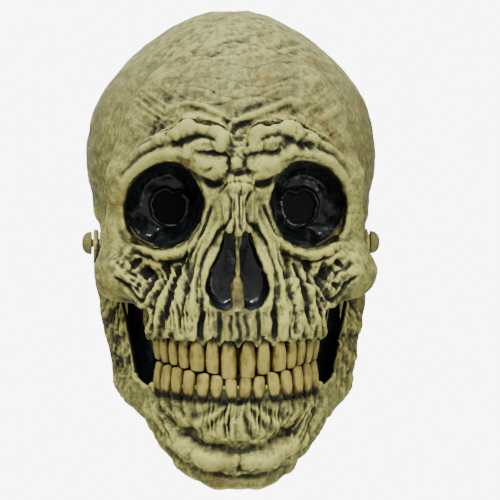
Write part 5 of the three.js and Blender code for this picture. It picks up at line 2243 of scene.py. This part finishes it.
@dataclass
class NapeClosure:
    """The slit's tapes, and the strap that holds it shut with hook and loop."""

    head: HeadCasting
    middle: float = -44.0
    width: float = 24.0
    layer: float = 1.3
    gap: float = 0.4

    def band(self, across: Point2, heights: Point2, offsets: Point2, ribs: float) -> tuple[Array, Array]:
        """Two grids on the nape between two places across, at two heights off the skin."""
        x, z = np.meshgrid(np.linspace(*across, 110), np.linspace(*heights, 40), indexing="ij")
        starts = upright(x, 0.0, z).reshape(-1, 3)
        skin = self.head.reach(starts, (0, 1, 0), 0.0).reshape(*x.shape, 3)
        settled(skin[..., 1], 8)
        rib = ribs * np.sin(x * 3.2) * np.cos(z * 2.6)
        grids = []
        for offset, way in ((offsets[0] + 0.1, -1), (offsets[1] - 0.1, 1)):
            grid = skin.copy()
            grid[..., 1] += offset + way * rib * 0.5
            grids.append(grid)
        return grids[1], grids[0]

    def layers(self, first: int, last: int) -> Point2:
        """How far off the skin a layer starts, and where the same or a later one ends."""
        start, pitch = 3 * self.gap, self.layer + self.gap
        return start + first * pitch, start + last * pitch + self.layer

    def build(self, dresser: Dresser, stitcher: Stitcher) -> None:
        """Make the tapes and the strap."""
        half = self.width / 2
        low, high = self.middle - half, self.middle + half
        strap, hooks, loops = (low, high), (low + 2, high - 2), (low + 1, high - 1)
        fold, inside, slit = self.layers(2, 2), (-self.head.wall - 1.4, -self.head.wall - 0.4), (-62, -12)
        tape, web = (0.08, Finish.GAUZE, Body.HEAD), (0.14, Finish.WEBBING)
        pieces = [
            ("strap_anchor", (-31, -15), strap, self.layers(0, 2), *web, Body.HEAD),
            ("closure_strap", (-14.6, 33), strap, fold, *web, Body.STRAP),
            ("hook_tape", (8, 30), hooks, self.layers(1, 1), 0.3, Finish.HOOKS, Body.STRAP),
            ("loop_tape", (8, 30), loops, self.layers(0, 0), 0.2, Finish.LOOPS, Body.HEAD),
            ("left_slit_tape", (3, 15), slit, inside, *tape),
            ("right_slit_tape", (-15, -3), slit, inside, *tape),
        ]
        for name, across, heights, offsets, ribs, finish, body in pieces:
            outer, inner = self.band(across, heights, offsets, ribs)
            piece = skinned(name, shell_grid(outer, inner))
            piece.data.materials.append(dresser.material(finish))
            if finish is Finish.WEBBING:
                sides = [outer[4:-4, 3], outer[-5, 4:-4], outer[4:-4, -4][::-1], outer[4, 4:-4][::-1]]
                stitcher.sew(piece, np.concatenate(sides) + (0, 0.12, 0))
            dresser.dress(piece, finish, body)


# ---- The studio ----


@dataclass
class Studio:
    """The camera, the soft lights and a white surround."""

    aim: Point3 = (12.5, 0.0, -5.0)
    distance: float = 1500.0
    rise: float = 5.0
    turn: float = 2.4
    lens: float = 163.0

    def build(self) -> None:
        """Set up the studio."""
        scene = bpy.context.scene
        rise, turn = math.radians(self.rise), math.radians(self.turn)
        way = Vector((-math.sin(turn) * math.cos(rise), -math.cos(turn) * math.cos(rise), math.sin(rise)))
        camera = bpy.data.objects.new("camera", bpy.data.cameras.new("camera"))
        camera.data.lens = self.lens
        camera.data.clip_end = 50
        camera.location = (Vector(self.aim) + way * self.distance) * MM
        camera.rotation_euler = way.to_track_quat("Z", "Y").to_euler()
        scene.collection.objects.link(camera)
        scene.camera = camera
        lights = [
            ("key", (-350, -1150, 1250), 0.6, 25.0),
            ("fill", (900, -1300, 350), 1.0, 7.0),
            ("top", (0, -150, 1500), 0.8, 15.0),
            ("back", (0, 1900, 50), 1.6, 30.0),
            ("under", (0, -500, -1300), 2.0, 12.0),
        ]
        surround, white = 0.42, 8.0
        made: list[Piece] = []
        for name, place, size, power in lights:
            lamp = bpy.data.lights.new(name, "AREA")
            lamp.size, lamp.energy = size, power
            holder = bpy.data.objects.new(name, lamp)
            holder.location = Vector(place) * MM
            holder.rotation_euler = Vector(place).to_track_quat("Z", "Y").to_euler()
            scene.collection.objects.link(holder)
            made.append(holder)
        world = bpy.data.worlds.new("studio")
        world.use_nodes = True
        world.node_tree.nodes["Background"].inputs["Color"].default_value = (1, 1, 1, 1)
        nodes, links = world.node_tree.nodes, world.node_tree.links
        seen, strength = nodes.new("ShaderNodeLightPath"), nodes.new("ShaderNodeMapRange")
        for socket, value in (("To Min", surround), ("To Max", white)):
            strength.inputs[socket].default_value = value
        links.new(seen.outputs["Is Camera Ray"], strength.inputs["Value"])
        links.new(strength.outputs["Result"], nodes["Background"].inputs["Strength"])
        scene.world = world
        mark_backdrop(*made)


def sizes() -> list[list[float]]:
    """The model's bounds as plain lists."""
    return [[float(v) for v in corner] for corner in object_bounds()]


def main() -> None:
    """Build the mask piece by piece."""
    logging.basicConfig(level=logging.INFO, format="%(name)s: %(message)s")
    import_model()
    dresser = Dresser()
    stitcher = Stitcher(dresser)
    head, jaw = HeadCasting(), JawCasting()
    head.build(dresser)
    jaw.build(dresser)
    for row in tooth_rows():
        row.build(dresser)
    for side in Side:
        lining = SocketLining(side, head)
        lining.cup(dresser)
        lining.gauze(dresser)
        Pivot(side).build(dresser)
        JawElastic(side).build(dresser)
    NoseLining(head).build(dresser)
    MouthLiner().build(dresser)
    FoamPads(head, jaw).build(dresser)
    ChinStrap(jaw).build(dresser, stitcher)
    NapeClosure(head).build(dresser, stitcher)
    Studio().build()


if __name__ == "__main__":
    main()
